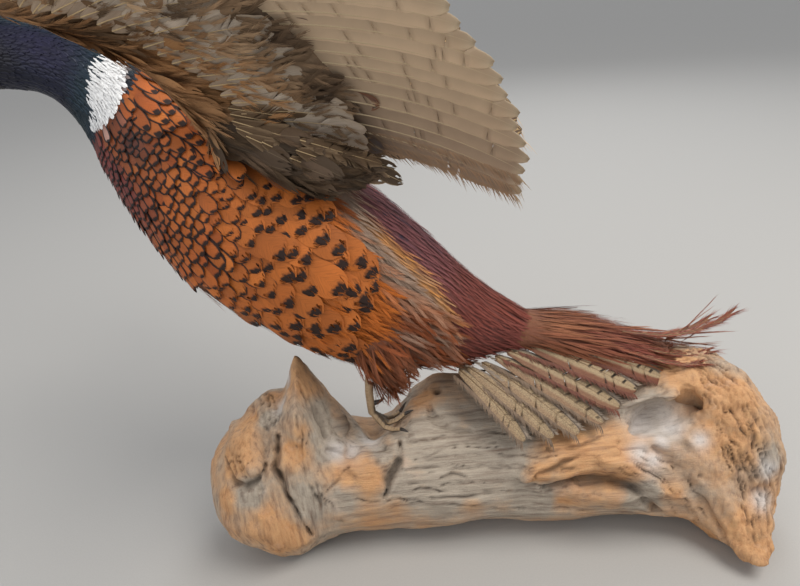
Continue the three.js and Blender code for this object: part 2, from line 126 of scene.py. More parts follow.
class Wire:                             # a socket that can stand in sums
    def __init__(self, sheet, socket):
        self.sheet = sheet
        self.socket = socket

    def math(self, operation, *values):
        return self.sheet.node("ShaderNodeMath", {"operation": operation}, dict(enumerate(values)))

    def __add__(self, other):
        return self.math("ADD", self, other)

    def __radd__(self, other):
        return self.math("ADD", other, self)

    def __sub__(self, other):
        return self.math("SUBTRACT", self, other)

    def __rsub__(self, other):
        return self.math("SUBTRACT", other, self)

    def __mul__(self, other):
        return self.math("MULTIPLY", self, other)

    def __rmul__(self, other):
        return self.math("MULTIPLY", other, self)

    def __truediv__(self, other):
        return self.math("DIVIDE", self, other)

    def __pow__(self, other):
        return self.math("POWER", self, other)

    def __abs__(self):
        return self.math("ABSOLUTE", self)

    def sin(self):
        return self.math("SINE", self)

    def fraction(self):
        return self.math("FRACT", self)

    def least(self, other):
        return self.math("MINIMUM", self, other)

    def most(self, other):
        return self.math("MAXIMUM", self, other)

    def clamped(self):
        return self.sheet.node("ShaderNodeClamp", {}, {"Value": self})

    def between(self, low, high):       # 0 at low, 1 at high, smooth
        return self.sheet.node("ShaderNodeMapRange", {"interpolation_type": "SMOOTHSTEP"},
                               {"Value": self, "From Min": low, "From Max": high})


class Sheet:                            # a node tree under construction
    def __init__(self, tree):
        self.tree = tree

    def node(self, kind, settings=None, values=None, out=0):
        made = self.tree.nodes.new(kind)
        for name, value in (settings or {}).items():
            if name == "stops":
                self.setStops(made.color_ramp, value)
            else:
                setattr(made, name, value)
        for name, value in (values or {}).items():
            socket = made.inputs[name]
            if isinstance(value, Wire):
                self.tree.links.new(value.socket, socket)
            else:
                socket.default_value = value
        return Wire(self, made.outputs[out])

    def setStops(self, ramp, stops):
        while len(ramp.elements) < len(stops):
            ramp.elements.new(1)
        for element, (place, colour) in zip(ramp.elements, stops):
            element.position = place
            element.color = colour

    def attribute(self, name, out="Color"):
        return self.node("ShaderNodeAttribute", {"attribute_name": name}, {}, out)

    def parts(self, wire):
        return [self.node("ShaderNodeSeparateXYZ", {}, {0: wire}, k) for k in range(3)]

    def mix(self, share, a, b):
        return self.node("ShaderNodeMix", {"data_type": "RGBA"}, {0: share, 6: a, 7: b}, 2)

    def scaled(self, colour, by):
        return self.node("ShaderNodeVectorMath", {"operation": "SCALE"}, {0: colour, "Scale": by})

    def noise(self, place, scale, detail=3.0, rough=0.55):
        return self.node("ShaderNodeTexNoise", {}, {"Vector": place, "Scale": scale, "Detail": detail,
                                                    "Roughness": rough})

    def placed(self, stretch=(1, 1, 1)):   # object place, stretched
        place = self.node("ShaderNodeTexCoord", {}, {}, "Object")
        return self.node("ShaderNodeMapping", {}, {"Vector": place, "Scale": stretch})

    def bump(self, height, distance, strength=1.0):
        return self.node("ShaderNodeBump", {}, {"Height": height, "Distance": distance, "Strength": strength})


def finishOf(name, paint, **surface):   # a material: paint(sheet) gives its varying inputs
    material = bpy.data.materials.new(name)
    material.use_nodes = True
    sheet = Sheet(material.node_tree)
    sheet.tree.nodes.clear()
    values = {name.replace("_", " "): value for name, value in surface.items()}
    values.update(paint(sheet))
    shader = sheet.node("ShaderNodeBsdfPrincipled", {}, values)
    output = sheet.tree.nodes.new("ShaderNodeOutputMaterial")
    sheet.tree.links.new(shader.socket, output.inputs["Surface"])
    return material


# meshes

dataName = {"FLOAT": "value", "INT": "value", "FLOAT_VECTOR": "vector", "FLOAT_COLOR": "color"}


def setAttribute(mesh, name, kind, values):
    made = mesh.attributes.new(name, kind, "POINT")
    values = np.asarray(values)
    if kind == "FLOAT_COLOR" and values.shape[1] == 3:
        values = np.hstack([values, np.ones((len(values), 1))])
    made.data.foreach_set(dataName[kind],
                          np.ascontiguousarray(values, np.int32 if kind == "INT" else np.float32).ravel())


def pointsOf(mesh):
    flat = np.empty(len(mesh.vertices) * 3, np.float32)
    mesh.vertices.foreach_get("co", flat)
    return flat.reshape(-1, 3).astype(float)


def normalsOf(mesh):
    flat = np.empty(len(mesh.vertices) * 3, np.float32)
    mesh.vertex_normals.foreach_get("vector", flat)
    return flat.reshape(-1, 3).astype(float)


def movePoints(mesh, points):
    mesh.vertices.foreach_set("co", np.ascontiguousarray(points, np.float32).ravel())
    mesh.update()


def newObject(name, mesh):
    made = bpy.data.objects.new(name, mesh)
    bpy.context.scene.collection.objects.link(made)
    return made


def newMesh(name, points, faces, smooth=True):
    mesh = bpy.data.meshes.new(name)
    mesh.from_pydata(np.asarray(points).tolist(), [], faces)
    mesh.update()
    if smooth:
        mesh.shade_smooth()
    return mesh


def shellOf(name, nodes, grow=0.0):     # merged copy of some frame nodes, grown a little
    work = bmesh.new()
    for node in nodes:
        part = bmesh.new()
        part.from_mesh(frame["nodes"][node].data)
        bmesh.ops.remove_doubles(part, verts=part.verts, dist=1e-5)
        part.normal_update()
        for vertex in part.verts:
            vertex.co += vertex.normal * grow
        mesh = bpy.data.meshes.new("part")
        part.to_mesh(mesh)
        part.free()
        work.from_mesh(mesh)
        bpy.data.meshes.remove(mesh)
    mesh = bpy.data.meshes.new(name)
    work.to_mesh(mesh)
    work.free()
    return newObject(name, mesh)


def applied(made, name=None):           # the object with its modifiers worked into a plain mesh
    graph = bpy.context.evaluated_depsgraph_get()
    mesh = bpy.data.meshes.new_from_object(made.evaluated_get(graph))
    old = made.data
    made.modifiers.clear()
    made.data = mesh
    bpy.data.meshes.remove(old)
    if name:
        made.name = name
    mesh.name = made.name
    return made


def remeshed(made, voxel):
    modifier = made.modifiers.new("remesh", "REMESH")
    modifier.mode = "VOXEL"
    modifier.voxel_size = voxel
    return applied(made)


def keepLargest(mesh):                  # drops loose crumbs
    work = bmesh.new()
    work.from_mesh(mesh)
    work.verts.ensure_lookup_table()
    island = np.full(len(work.verts), -1)
    sizes = []
    for first in work.verts:
        if island[first.index] >= 0:
            continue
        island[first.index] = len(sizes)
        reached = [first]
        for vertex in reached:
            for edge in vertex.link_edges:
                other = edge.other_vert(vertex)
                if island[other.index] < 0:
                    island[other.index] = len(sizes)
                    reached.append(other)
        sizes.append(len(reached))
    largest = int(np.argmax(sizes))
    crumbs = [vertex for vertex in work.verts if island[vertex.index] != largest]
    bmesh.ops.delete(work, geom=crumbs, context="VERTS")
    work.to_mesh(mesh)
    work.free()


def neighboursOf(mesh):                 # the two ends of each edge, and how many edges meet at each point
    count = len(mesh.vertices)
    ends = np.empty(len(mesh.edges) * 2, np.int32)
    mesh.edges.foreach_get("vertices", ends)
    a, b = ends.reshape(-1, 2).T
    return a, b, np.maximum(np.bincount(a, minlength=count) + np.bincount(b, minlength=count), 1)


def relaxed(mesh, rounds, share=0.5):   # evens out a surface
    count = len(mesh.vertices)
    a, b, near = neighboursOf(mesh)
    points = pointsOf(mesh)
    for turn in range(rounds):
        total = np.stack([np.bincount(a, points[b, k], count) + np.bincount(b, points[a, k], count)
                          for k in range(3)], axis=1)
        points += share * (total / near[:, None] - points)
    movePoints(mesh, points)


def finished(made, slot, *nodes):       # the slot is not used; attaches the piece to the root body and hides the frame nodes it stands for
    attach(made, "root")
    if nodes:
        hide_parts(*nodes)
    return made


def wear(made, material):
    made.data.materials.clear()
    made.data.materials.append(material)
    made.data.shade_smooth()
    return made


# the bird's own coordinates

bird = {
    "midY": 0.015,
    # side outline: back x, back z, belly x, belly z, half width
    "rows": [
        [-0.302, 0.464, -0.312, 0.411, 0.020], [-0.262, 0.453, -0.279, 0.404, 0.022],
        [-0.224, 0.434, -0.261, 0.379, 0.025], [-0.190, 0.412, -0.251, 0.338, 0.042],
        [-0.150, 0.388, -0.231, 0.288, 0.057], [-0.110, 0.362, -0.198, 0.239, 0.065],
        [-0.060, 0.325, -0.136, 0.190, 0.065], [-0.015, 0.279, -0.065, 0.156, 0.053],
        [0.025, 0.233, -0.004, 0.149, 0.037], [0.064, 0.197, 0.042, 0.154, 0.025],
    ],
    "stations": 181,
}
wing = {
    "tilt": math.radians(55), "rootY": 0.045, "rootZ": 0.372, "camber": 0.014,
    # patches of colour in the down: along the body, out along the wing, reach; the dark hollow ones are
    # painted shade
    "patches": [(-0.147, 0.046, 0.020, "tawny"), (-0.127, 0.016, 0.016, "tawny"),
                (-0.175, 0.070, 0.016, "tawny"),
                (-0.112, 0.060, 0.013, "hollow"), (-0.092, 0.022, 0.019, "hollow"),
                (-0.165, 0.094, 0.011, "hollow"),
                (-0.132, 0.066, 0.010, "sand")],
    "bowCentre": -0.110, "bowReach": 0.130, "hinge": (-0.163, -0.022),
    "forward": {"left": 0.0, "right": math.radians(12)},
    # outlines in the wing's own plane: along the body, out along the wing
    "lead": [[-0.163, -0.022], [-0.186, 0.050], [-0.214, 0.084], [-0.252, 0.112], [-0.262, 0.148],
             [-0.243, 0.196]],
    "roots": [[-0.098, -0.010], [-0.124, 0.046], [-0.164, 0.096], [-0.205, 0.130], [-0.218, 0.188]],
    "rear": [[-0.058, -0.036], [-0.062, 0.030], [-0.108, 0.095], [-0.150, 0.130], [-0.182, 0.165],
             [-0.212, 0.196]],
}
signOf = {"left": -1, "right": 1}


def bodyPlace(points):
    # station along the body, angle from the back (left is negative), reach from the middle, way to the tail
    stations = np.linspace(0, len(bird["rows"]) - 1, bird["stations"])
    rows = rowAt(bird["rows"], stations)
    middle = (rows[:, [0, 1]] + rows[:, [2, 3]]) / 2
    up = rows[:, [0, 1]] - rows[:, [2, 3]]
    tall = np.linalg.norm(up, axis=1) / 2
    up = up / (2 * tall[:, None])
    ahead = np.stack([up[:, 1], -up[:, 0]], axis=1)
    flat = points[:, [0, 2]]
    found = np.zeros((len(points), 4))
    for start in range(0, len(points), 6000):
        chunk = flat[start:start + 6000]
        off = chunk[:, None] - middle[None]
        past = (off * ahead[None]).sum(2)
        score = np.abs(past) * 3 + np.linalg.norm(off, axis=2)
        best = score.argmin(1)
        row = np.arange(len(chunk))
        lift = (off[row, best] * up[best]).sum(1) / tall[best]
        side = (points[start:start + 6000, 1] - bird["midY"]) / rows[best, 4]
        found[start:start + 6000, 0] = stations[best] + past[row, best] / 0.045 * 0.5
        found[start:start + 6000, 1] = np.arctan2(side, lift)
        found[start:start + 6000, 2] = np.hypot(side, lift)
        found[start:start + 6000, 3] = best
    way = unit(np.gradient(middle, axis=0))[found[:, 3].astype(int)]
    return found[:, 0], found[:, 1], found[:, 2], np.stack([way[:, 0], 0 * way[:, 0], way[:, 1]], axis=1)


# a place in the wing's plane as a point; lift goes towards its lower face
def wingPoint(side, x, s, lift=0.0):
    turn = wing["forward"][side]
    hingeX, hingeS = wing["hinge"]
    px = hingeX + (x - hingeX) * math.cos(turn) - (s - hingeS) * math.sin(turn)
    ps = hingeS + (x - hingeX) * math.sin(turn) + (s - hingeS) * math.cos(turn)
    bow = wing["camber"] * (1 - ((x - wing["bowCentre"]) / wing["bowReach"]) ** 2)
    off = lift - np.maximum(-wing["camber"], bow)
    cos, sin = math.cos(wing["tilt"]), math.sin(wing["tilt"])
    y = bird["midY"] + signOf[side] * (wing["rootY"] + ps * cos + off * sin)
    return np.stack(np.broadcast_arrays(px, y, wing["rootZ"] + ps * sin - off * cos), axis=-1)


def wingPlace(side, points):            # the other way round: x, s and lift of a point
    cos, sin = math.cos(wing["tilt"]), math.sin(wing["tilt"])
    y = signOf[side] * (points[:, 1] - bird["midY"]) - wing["rootY"]
    z = points[:, 2] - wing["rootZ"]
    ps, off = y * cos + z * sin, y * sin - z * cos
    turn = -wing["forward"][side]
    hingeX, hingeS = wing["hinge"]
    x = hingeX + (points[:, 0] - hingeX) * math.cos(turn) - (ps - hingeS) * math.sin(turn)
    s = hingeS + (points[:, 0] - hingeX) * math.sin(turn) + (ps - hingeS) * math.cos(turn)
    bow = wing["camber"] * (1 - ((x - wing["bowCentre"]) / wing["bowReach"]) ** 2)
    return x, s, off + np.maximum(-wing["camber"], bow)

# the skin

skinSet = {
    "voxel": 0.0027, "rounds": 5, "blend": 6, "fill": 0.0005,
    "body": ["neck", "trunk", "rump"], "head": ["head"], "thighs": ["thigh_left", "thigh_right"],
    "tail": ["tail_coverts"],
    "wings": ["wing_arm_left", "wing_arm_right"], "shoulders": ["scapulars_left", "scapulars_right"],
    # how deep the skin lies under the coat
    "depth": {"body": 0.0040, "head": 0.0012, "thighs": 0.0035, "tail": 0.0040, "wings": 0.0016,
              "shoulders": 0.0030},
    "neckDepth": 0.0022,
}
owners = ["body", "head", "thighs", "tail", "wings", "shoulders"]


def ownerTrees():
    trees = []
    for owner in owners:
        shell = shellOf("owner", skinSet[owner])
        mesh = shell.data
        faces = [tuple(p.vertices) for p in mesh.polygons]
        trees.append(BVHTree.FromPolygons([v.co.copy() for v in mesh.vertices], faces))
        bpy.data.objects.remove(shell)
        bpy.data.meshes.remove(mesh)
    return trees


def nearestOwner(points, trees):
    far = np.array([[tree.find_nearest(Vector(p))[3] for tree in trees] for p in points])
    return far.argmin(1)


def makeSkin():
    nodes = [node for owner in owners for node in skinSet[owner]]
    skin = remeshed(shellOf("plumage_skin", nodes, skinSet["fill"]), skinSet["voxel"])
    keepLargest(skin.data)
    relaxed(skin.data, skinSet["rounds"])
    points = pointsOf(skin.data)
    owner = nearestOwner(points, ownerTrees())
    depth = np.array([skinSet["depth"][name] for name in owners])[owner]
    t = bodyPlace(points)[0]
    depth = np.where(owner == 0, skinSet["neckDepth"] + (depth - skinSet["neckDepth"])
                     * smoothStep(2.0, 3.2, t), depth)
    count = len(points)
    a, b, near = neighboursOf(skin.data)
    for turn in range(skinSet["blend"]):               # the depth changes gently from part to part
        depth = 0.5 * depth + 0.5 * (np.bincount(a, depth[b], count) + np.bincount(b, depth[a], count)) / near
    movePoints(skin.data, points - normalsOf(skin.data) * depth[:, None])
    relaxed(skin.data, 2)
    return skin, owner


skin, skinOwner = makeSkin()
print("skin:", len(skin.data.vertices), "points")

# markings

dye = {
    "blue": linear("161d34"), "violet": linear("272340"), "green": linear("13343a"), "soot": linear("15131a"),
    "white": linear("eeeef0"), "copper": linear("b55a24"), "amber": linear("c97230"),
    "plum": linear("74393f"),
    "umber": linear("55302a"), "buff": linear("bf6b2b"), "belly": linear("2e2422"),
    "rufous": linear("8a4a2a"),
    "grey": linear("a08774"), "maroon": linear("7c4034"), "mauve": linear("875456"), "gold": linear("c88a4c"),
    "fluff": linear("967a5e"), "dusk": linear("51402f"), "sand": linear("b39676"), "rim": linear("b07f52"),
    "slate": linear("7d7a78"), "chestnut": linear("6e3a22"), "tawny": linear("ad7c4e"),
    # hollow: painted shade for the hollows among the wing's soft feathers
    "hollow": linear("33271f"),
}
# angle from the back in degrees: front and rear station of the white ring
ringEdges = {
    "angle": [0, 25, 45, 62, 75, 85, 98, 108, 118],
    "front": [2.00, 2.00, 1.98, 1.98, 2.02, 2.06, 2.26, 2.31, 2.37],
    "rear": [2.30, 2.32, 2.44, 2.58, 2.64, 2.62, 2.55, 2.47, 2.39],
}
maroonEdge = {"station": [5.5, 6.15, 6.45, 6.83, 7.12, 7.4, 7.6, 7.8, 7.95, 8.2],
              "angle": [0, 33, 39, 43, 49, 56, 66, 100, 135, 181]}
flankEnd = {"angle": [0, 44, 54, 58, 62, 76, 92, 120, 180],
            "station": [5.6, 5.85, 5.95, 6.15, 6.36, 6.60, 6.58, 6.7, 6.9]}
scaleEnd = {"angle": [0, 60, 78, 92, 104, 120, 180], "station": [4.3, 4.15, 4.4, 4.75, 5.2, 4.8, 4.6]}


def zoneShares(t, turn):                # how far each point of the body lies in each zone, 0 to 1
    deg = np.degrees(np.abs(turn))
    front = np.interp(deg, ringEdges["angle"], ringEdges["front"])
    rear = np.interp(deg, ringEdges["angle"], ringEdges["rear"])
    blur = 0.03
    zones = {}
    zones["ring"] = smoothStep(-blur, blur, t - front) * smoothStep(-blur, blur, rear - t) * (deg < 119)
    collar = 0.20 * smoothStep(75, 20, deg)
    zones["neck"] = (t < rear + collar).astype(float) * (1 - zones["ring"])
    maroonFrom = np.interp(t, maroonEdge["station"], maroonEdge["angle"], left=-20)
    zones["rump"] = smoothStep(-4, 4, maroonFrom - deg)
    ending = np.interp(deg, flankEnd["angle"], flankEnd["station"])
    zones["past"] = smoothStep(-0.12, 0.12, t - ending) * (1 - zones["rump"])
    scaled = np.interp(deg, scaleEnd["angle"], scaleEnd["station"])
    zones["flank"] = smoothStep(-0.35, 0.35, t - scaled)
    zones["belly"] = smoothStep(132, 141, deg) * smoothStep(4.6, 5.1, t) * smoothStep(7.1, 6.7, t)
    zones["grey"] = zones["past"] * smoothStep(80, 60, deg)
    zones["vent"] = zones["past"] * (1 - zones["grey"])
    zones["gold"] = (smoothStep(9, 3, np.abs(deg - maroonFrom - 5)) * smoothStep(6.0, 6.4, t)
                     * smoothStep(7.9, 7.6, t))
    zones["back"] = smoothStep(48, 34, deg) * smoothStep(4.2, 4.8, t) * (1 - zones["rump"])
    return zones


def blend(base, share, colour):
    return base + (colour - base) * np.clip(share, 0, 1)[:, None]


def bodyTint(points, t, turn):          # feather colour before edges and spots
    zones = zoneShares(t, turn)
    deg = np.degrees(np.abs(turn))
    patch = noiseAt(points, 0.022, 1)
    fine = noiseAt(points, 0.006, 2)
    tint = np.tile(dye["copper"], (len(points), 1))
    tint = blend(tint, 0.5 + 0.6 * fine, dye["amber"])
    tint = blend(tint, smoothStep(96, 118, deg) * smoothStep(4.6, 3.0, t) * 0.85, dye["plum"])
    tint = blend(tint, np.exp(-((t - 2.95) / 0.42) ** 2 - ((deg - 84) / 20) ** 2) * 0.95, dye["umber"])
    tint = blend(tint, zones["flank"] * (0.75 + 0.25 * patch), dye["buff"])
    tint = blend(tint, zones["back"] * 0.8, dye["chestnut"])
    tint = blend(tint, zones["vent"], dye["rufous"])
    tint = blend(tint, zones["grey"], dye["grey"])
    tint = blend(tint, zones["vent"] * smoothStep(0.1, 0.8, noiseAt(points, 0.011, 8)) * 0.75, dye["grey"])
    tint = blend(tint, zones["belly"], dye["belly"])
    rump = blend(np.tile(dye["mauve"], (len(points), 1)), smoothStep(6.9, 7.8, t) * 0.9 + 0.15 * patch,
                 dye["maroon"])
    rump = blend(rump, smoothStep(0.35, 0.8, noiseAt(points, 0.004, 5)) * smoothStep(7.4, 6.6, t),
                 linear("54485c"))
    tint = tint + (rump - tint) * zones["rump"][:, None]
    tint = blend(tint, zones["gold"] * (0.75 + 0.5 * fine), dye["gold"])
    neck = np.tile(dye["blue"], (len(points), 1))
    neck = blend(neck, np.exp(-((t - 0.9) / 0.75) ** 2 - ((deg - 65) / 35) ** 2) * 0.8 + 0.25 * patch,
                 dye["violet"])
    neck = blend(neck, smoothStep(1.3, 1.9, t) * (0.75 + 0.3 * patch), dye["green"])
    neck = blend(neck, smoothStep(42, 18, deg) * 0.7, dye["green"])
    neck = blend(neck, smoothStep(2.30, 2.45, t) * 0.8, dye["soot"])
    neck = blend(neck, np.exp(-((t - 0.25) / 0.35) ** 2 - ((deg - 95) / 40) ** 2) * 0.9, dye["soot"])
    tint = blend(tint, zones["neck"], neck)
    tint = blend(tint, zones["ring"], dye["white"])
    return tint * (1 + 0.10 * fine + 0.06 * patch)[:, None]


def wingTint(points, x, s, lift):
    patch = noiseAt(points, 0.026, 3)
    fine = noiseAt(points, 0.008, 4)
    tint = np.tile(dye["fluff"], (len(points), 1))
    tint = blend(tint, smoothStep(0.0, 0.7, patch + 0.5 * fine) * 0.8, dye["sand"])
    tint = blend(tint, smoothStep(0.15, 0.75, -patch - 0.2 * fine) * 0.9, dye["dusk"])
    lead = np.interp(s, np.array(wing["lead"])[:, 1], np.array(wing["lead"])[:, 0])
    tint = blend(tint, smoothStep(0.026, 0.006, x - lead) * 0.75, dye["rim"])
    # warm patches, and painted shade in the hollows among the soft feathers
    for px, ps, reach, shade in wing["patches"]:
        tint = blend(tint, np.exp(-(((x - px) / reach) ** 2 + ((s - ps) / reach) ** 2)) * 0.85, dye[shade])
    upper = smoothStep(-0.0005, -0.0030, lift)
    above = blend(np.tile(dye["slate"], (len(points), 1)), smoothStep(-0.3, 0.5, patch), dye["chestnut"])
    return tint + (above - tint) * upper[:, None] * 0.85


def sideOf(points):
    return np.where(points[:, 1] < bird["midY"], -1, 1)


def tintOf(points, owner):
    t, turn, reach, way = bodyPlace(points)
    tint = bodyTint(points, t, turn)
    for side, sign in signOf.items():
        mine = ((owner == 4) | (owner == 5)) & (sideOf(points) == sign)
        x, s, lift = wingPlace(side, points[mine])
        tint[mine] = wingTint(points[mine], x, s, lift)
    shoulder = owner == 5
    tint[shoulder] = blend(np.tile(dye["dusk"], (int(shoulder.sum()), 1)),
                           smoothStep(-0.2, 0.8, noiseAt(points[shoulder], 0.014, 9)), linear("6b5644"))
    tint[owner == 2] = blend(np.tile(dye["rufous"], (int((owner == 2).sum()), 1)),
                             0.4 + 0.6 * noiseAt(points[owner == 2], 0.01, 6), linear("6a4a38"))
    tail = owner == 3
    tint[tail] = blend(np.tile(dye["maroon"], (int(tail.sum()), 1)),
                       0.5 + 0.8 * noiseAt(points[tail], 0.012, 7), linear("8f5c3e"))
    headPart = owner == 1
    head = blend(np.tile(dye["soot"], (int(headPart.sum()), 1)),
                 smoothStep(0.440, 0.465, points[headPart, 2]), dye["green"] * 0.8)
    tint[headPart] = head
    return np.clip(tint, 0, 1)


def wayOf(points, normals, owner):      # which way the feathers lie, along the surface
    t, turn, reach, way = bodyPlace(points)
    way = way.copy()
    way[:, 2] -= 0.10 * smoothStep(2.5, 5.0, t)
    way[:, 2] -= 0.25 * smoothStep(6.8, 7.6, t)
    way += smoothStep(8.0, 8.9, t)[:, None] * (np.array([0.93, 0, -0.36]) - way)
    for side, sign in signOf.items():
        mine = ((owner == 4) | (owner == 5)) & (sideOf(points) == sign)
        x, s, lift = wingPlace(side, points[mine])
        angle = np.radians(np.interp(s, [-0.03, 0.05, 0.12, 0.20], [-24, -8, 22, 60]))
        step = 0.004
        way[mine] = wingPoint(side, x + step * np.cos(angle), s + step * np.sin(angle), lift) - points[mine]
    way[owner == 5] = np.array([0.9, 0, -0.35])
    way[owner == 2] = np.array([0.48, 0, -0.88])
    way[owner == 3] = np.array([0.93, 0, -0.36])
    way[owner == 1] = np.array([0.96, 0, -0.25])
    way = unit(way)
    way = way - normals * (way * normals).sum(1, keepdims=True)
    return unit(way)


def skinFinish():
    def paint(sheet):
        tint = sheet.attribute("tint")
        place = sheet.placed()
        grain = sheet.noise(place, 420, 3)
        colour = sheet.scaled(tint, grain * 0.5 + 0.55)
        return {"Base Color": colour, "Normal": sheet.bump(grain, 0.0006)}
    return finishOf("skin", paint, Roughness=0.85)


setAttribute(skin.data, "tint", "FLOAT_COLOR", tintOf(pointsOf(skin.data), skinOwner) * 0.8)
wear(skin, skinFinish())
fleshNodes = [node for owner in owners for node in skinSet[owner]]
finished(skin, "plumage_body", *fleshNodes)

# feather shapes


def collectionOf(name, shapes):
    made = bpy.data.collections.new(name)
    for shape in shapes:
        made.objects.link(shape)
    return made


def vaneShape(name, seed, rows=7, columns=6, rise=0.6, root=0.35, droop=0.10, camber=0.12, rag=0.03,
              splits=0):
    # a flat-webbed feather: root at the origin, tip near y = 1, half a unit wide to each side
    rng = np.random.default_rng(seed)
    v = np.linspace(0, 1, rows + 1) ** 0.9
    full = np.where(v < rise, root + (1 - root) * np.sin(np.pi / 2 * v / rise),
                    np.sqrt(np.maximum(0, 1 - ((v - rise) / (1 - rise)) ** 2 * 0.93)))
    u = np.linspace(-1, 1, columns + 1)
    jag = rng.uniform(-rag, rag, columns + 1)
    points, web = [], []
    for i, along in enumerate(v):
        for j, across in enumerate(u):
            x = 0.5 * across * full[i]
            y = along + jag[j] * along ** 3
            points.append((x, y, -droop * along ** 2 - camber * across ** 2 * full[i] * 0.5))
            web.append((across, along, rng.random()))
    opened = {(int(rng.integers(columns)), k) for n in range(splits) for k in range(rows - 2, rows)}
    faces = []
    for i in range(rows):
        for j in range(columns):
            if (j, i) in opened and 0 < j < columns - 1:
                continue
            a = i * (columns + 1) + j
            faces.append((a, a + 1, a + columns + 2, a + columns + 1))
    mesh = newMesh(name, points, faces)
    setAttribute(mesh, "vane", "FLOAT_VECTOR", web)
    return bpy.data.objects.new(name, mesh)


def plumeShape(name, seed, barbs=12, spread=0.42, width=0.020, curl=0.10, droop=0.05, first=0.06):
    # a loose feather: a shaft with separate barbs on both sides
    rng = np.random.default_rng(seed)
    points, web, faces = [], [], []

    def strip(start, direction, length, wide, tag, bend):
        side = np.array([-direction[1], direction[0], 0])
        base = len(points)
        for k, part in enumerate((0.0, 0.5, 1.0)):
            middle = start + direction * length * part + np.array([0, bend * part ** 2, 0])
            lift = rng.uniform(-0.5, 1.0) * curl * length * part ** 2 - droop * middle[1] ** 2
            half = wide * (1 - 0.15 * k) / 2
            ends = (-1, 1) if k < 2 else (0,)
            for end in ends:
                points.append(middle + side * half * end + np.array([0, 0, lift]))
                web.append((tag, middle[1], shade))
        faces.append((base, base + 1, base + 3, base + 2))
        faces.append((base + 2, base + 3, base + 4))

    shade = 0.5
    strip(np.zeros(3), np.array([0, 1.0, 0]), 0.92, width * 1.6, 0.0, 0.0)
    for k in range(barbs):
        along = first + (0.90 - first) * k / (barbs - 1)
        for side in (-1, 1):
            shade = rng.random()
            angle = spread * (1.25 - 0.7 * along) * rng.uniform(0.7, 1.3)
            length = ((0.34 + 0.10 * math.sin(math.pi * along)) * rng.uniform(0.75, 1.15)
                      * (1.05 - 0.45 * along))
            direction = np.array([side * math.sin(angle), math.cos(angle), 0])
            strip(np.array([0, along, 0.0]), direction, length, width * 2.0, side * 0.8, 0.05)
    mesh = newMesh(name, points, faces)
    setAttribute(mesh, "vane", "FLOAT_VECTOR", web)
    return bpy.data.objects.new(name, mesh)


vanes = {
    "down": collectionOf("down", [vaneShape(f"down{n}", 10 + n, 4, 4, 0.5, 0.3, 0.05, 0.15, 0.10)
                                  for n in range(4)]),
    "spiky": collectionOf("spiky",
                          [plumeShape(f"spiky{n}", 20 + n, 5, 0.32, 0.075, 0.25, 0.02) for n in range(4)]),
    "scale": collectionOf("scale", [vaneShape(f"scale{n}", 30 + n, 7, 8, 0.70, 0.55, 0.02, 0.07, 0.030)
                                    for n in range(4)]),
    "broad": collectionOf("broad", [vaneShape(f"broad{n}", 40 + n, 10, 14, 0.72, 0.45, 0.02, 0.06, 0.045, 3)
                                    for n in range(5)]),
    "pointed": collectionOf("pointed", [vaneShape(f"pointed{n}", 45 + n, 8, 8, 0.35, 0.55, 0.02, 0.06, 0.02)
                                        for n in range(4)]),
    "soft": collectionOf("soft", [vaneShape(f"soft{n}", 50 + n, 8, 9, 0.55, 0.35, 0.06, 0.10, 0.07, 2)
                                  for n in range(5)]),
    "plume": collectionOf("plume",
                          [plumeShape(f"plume{n}", 60 + n, 12, 0.42, 0.020, 0.16, 0.05) for n in range(5)]),
    "hair": collectionOf("hair",
                         [plumeShape(f"hair{n}", 70 + n, 10, 0.24, 0.017, 0.08, 0.03) for n in range(5)]),
}

# laying feathers


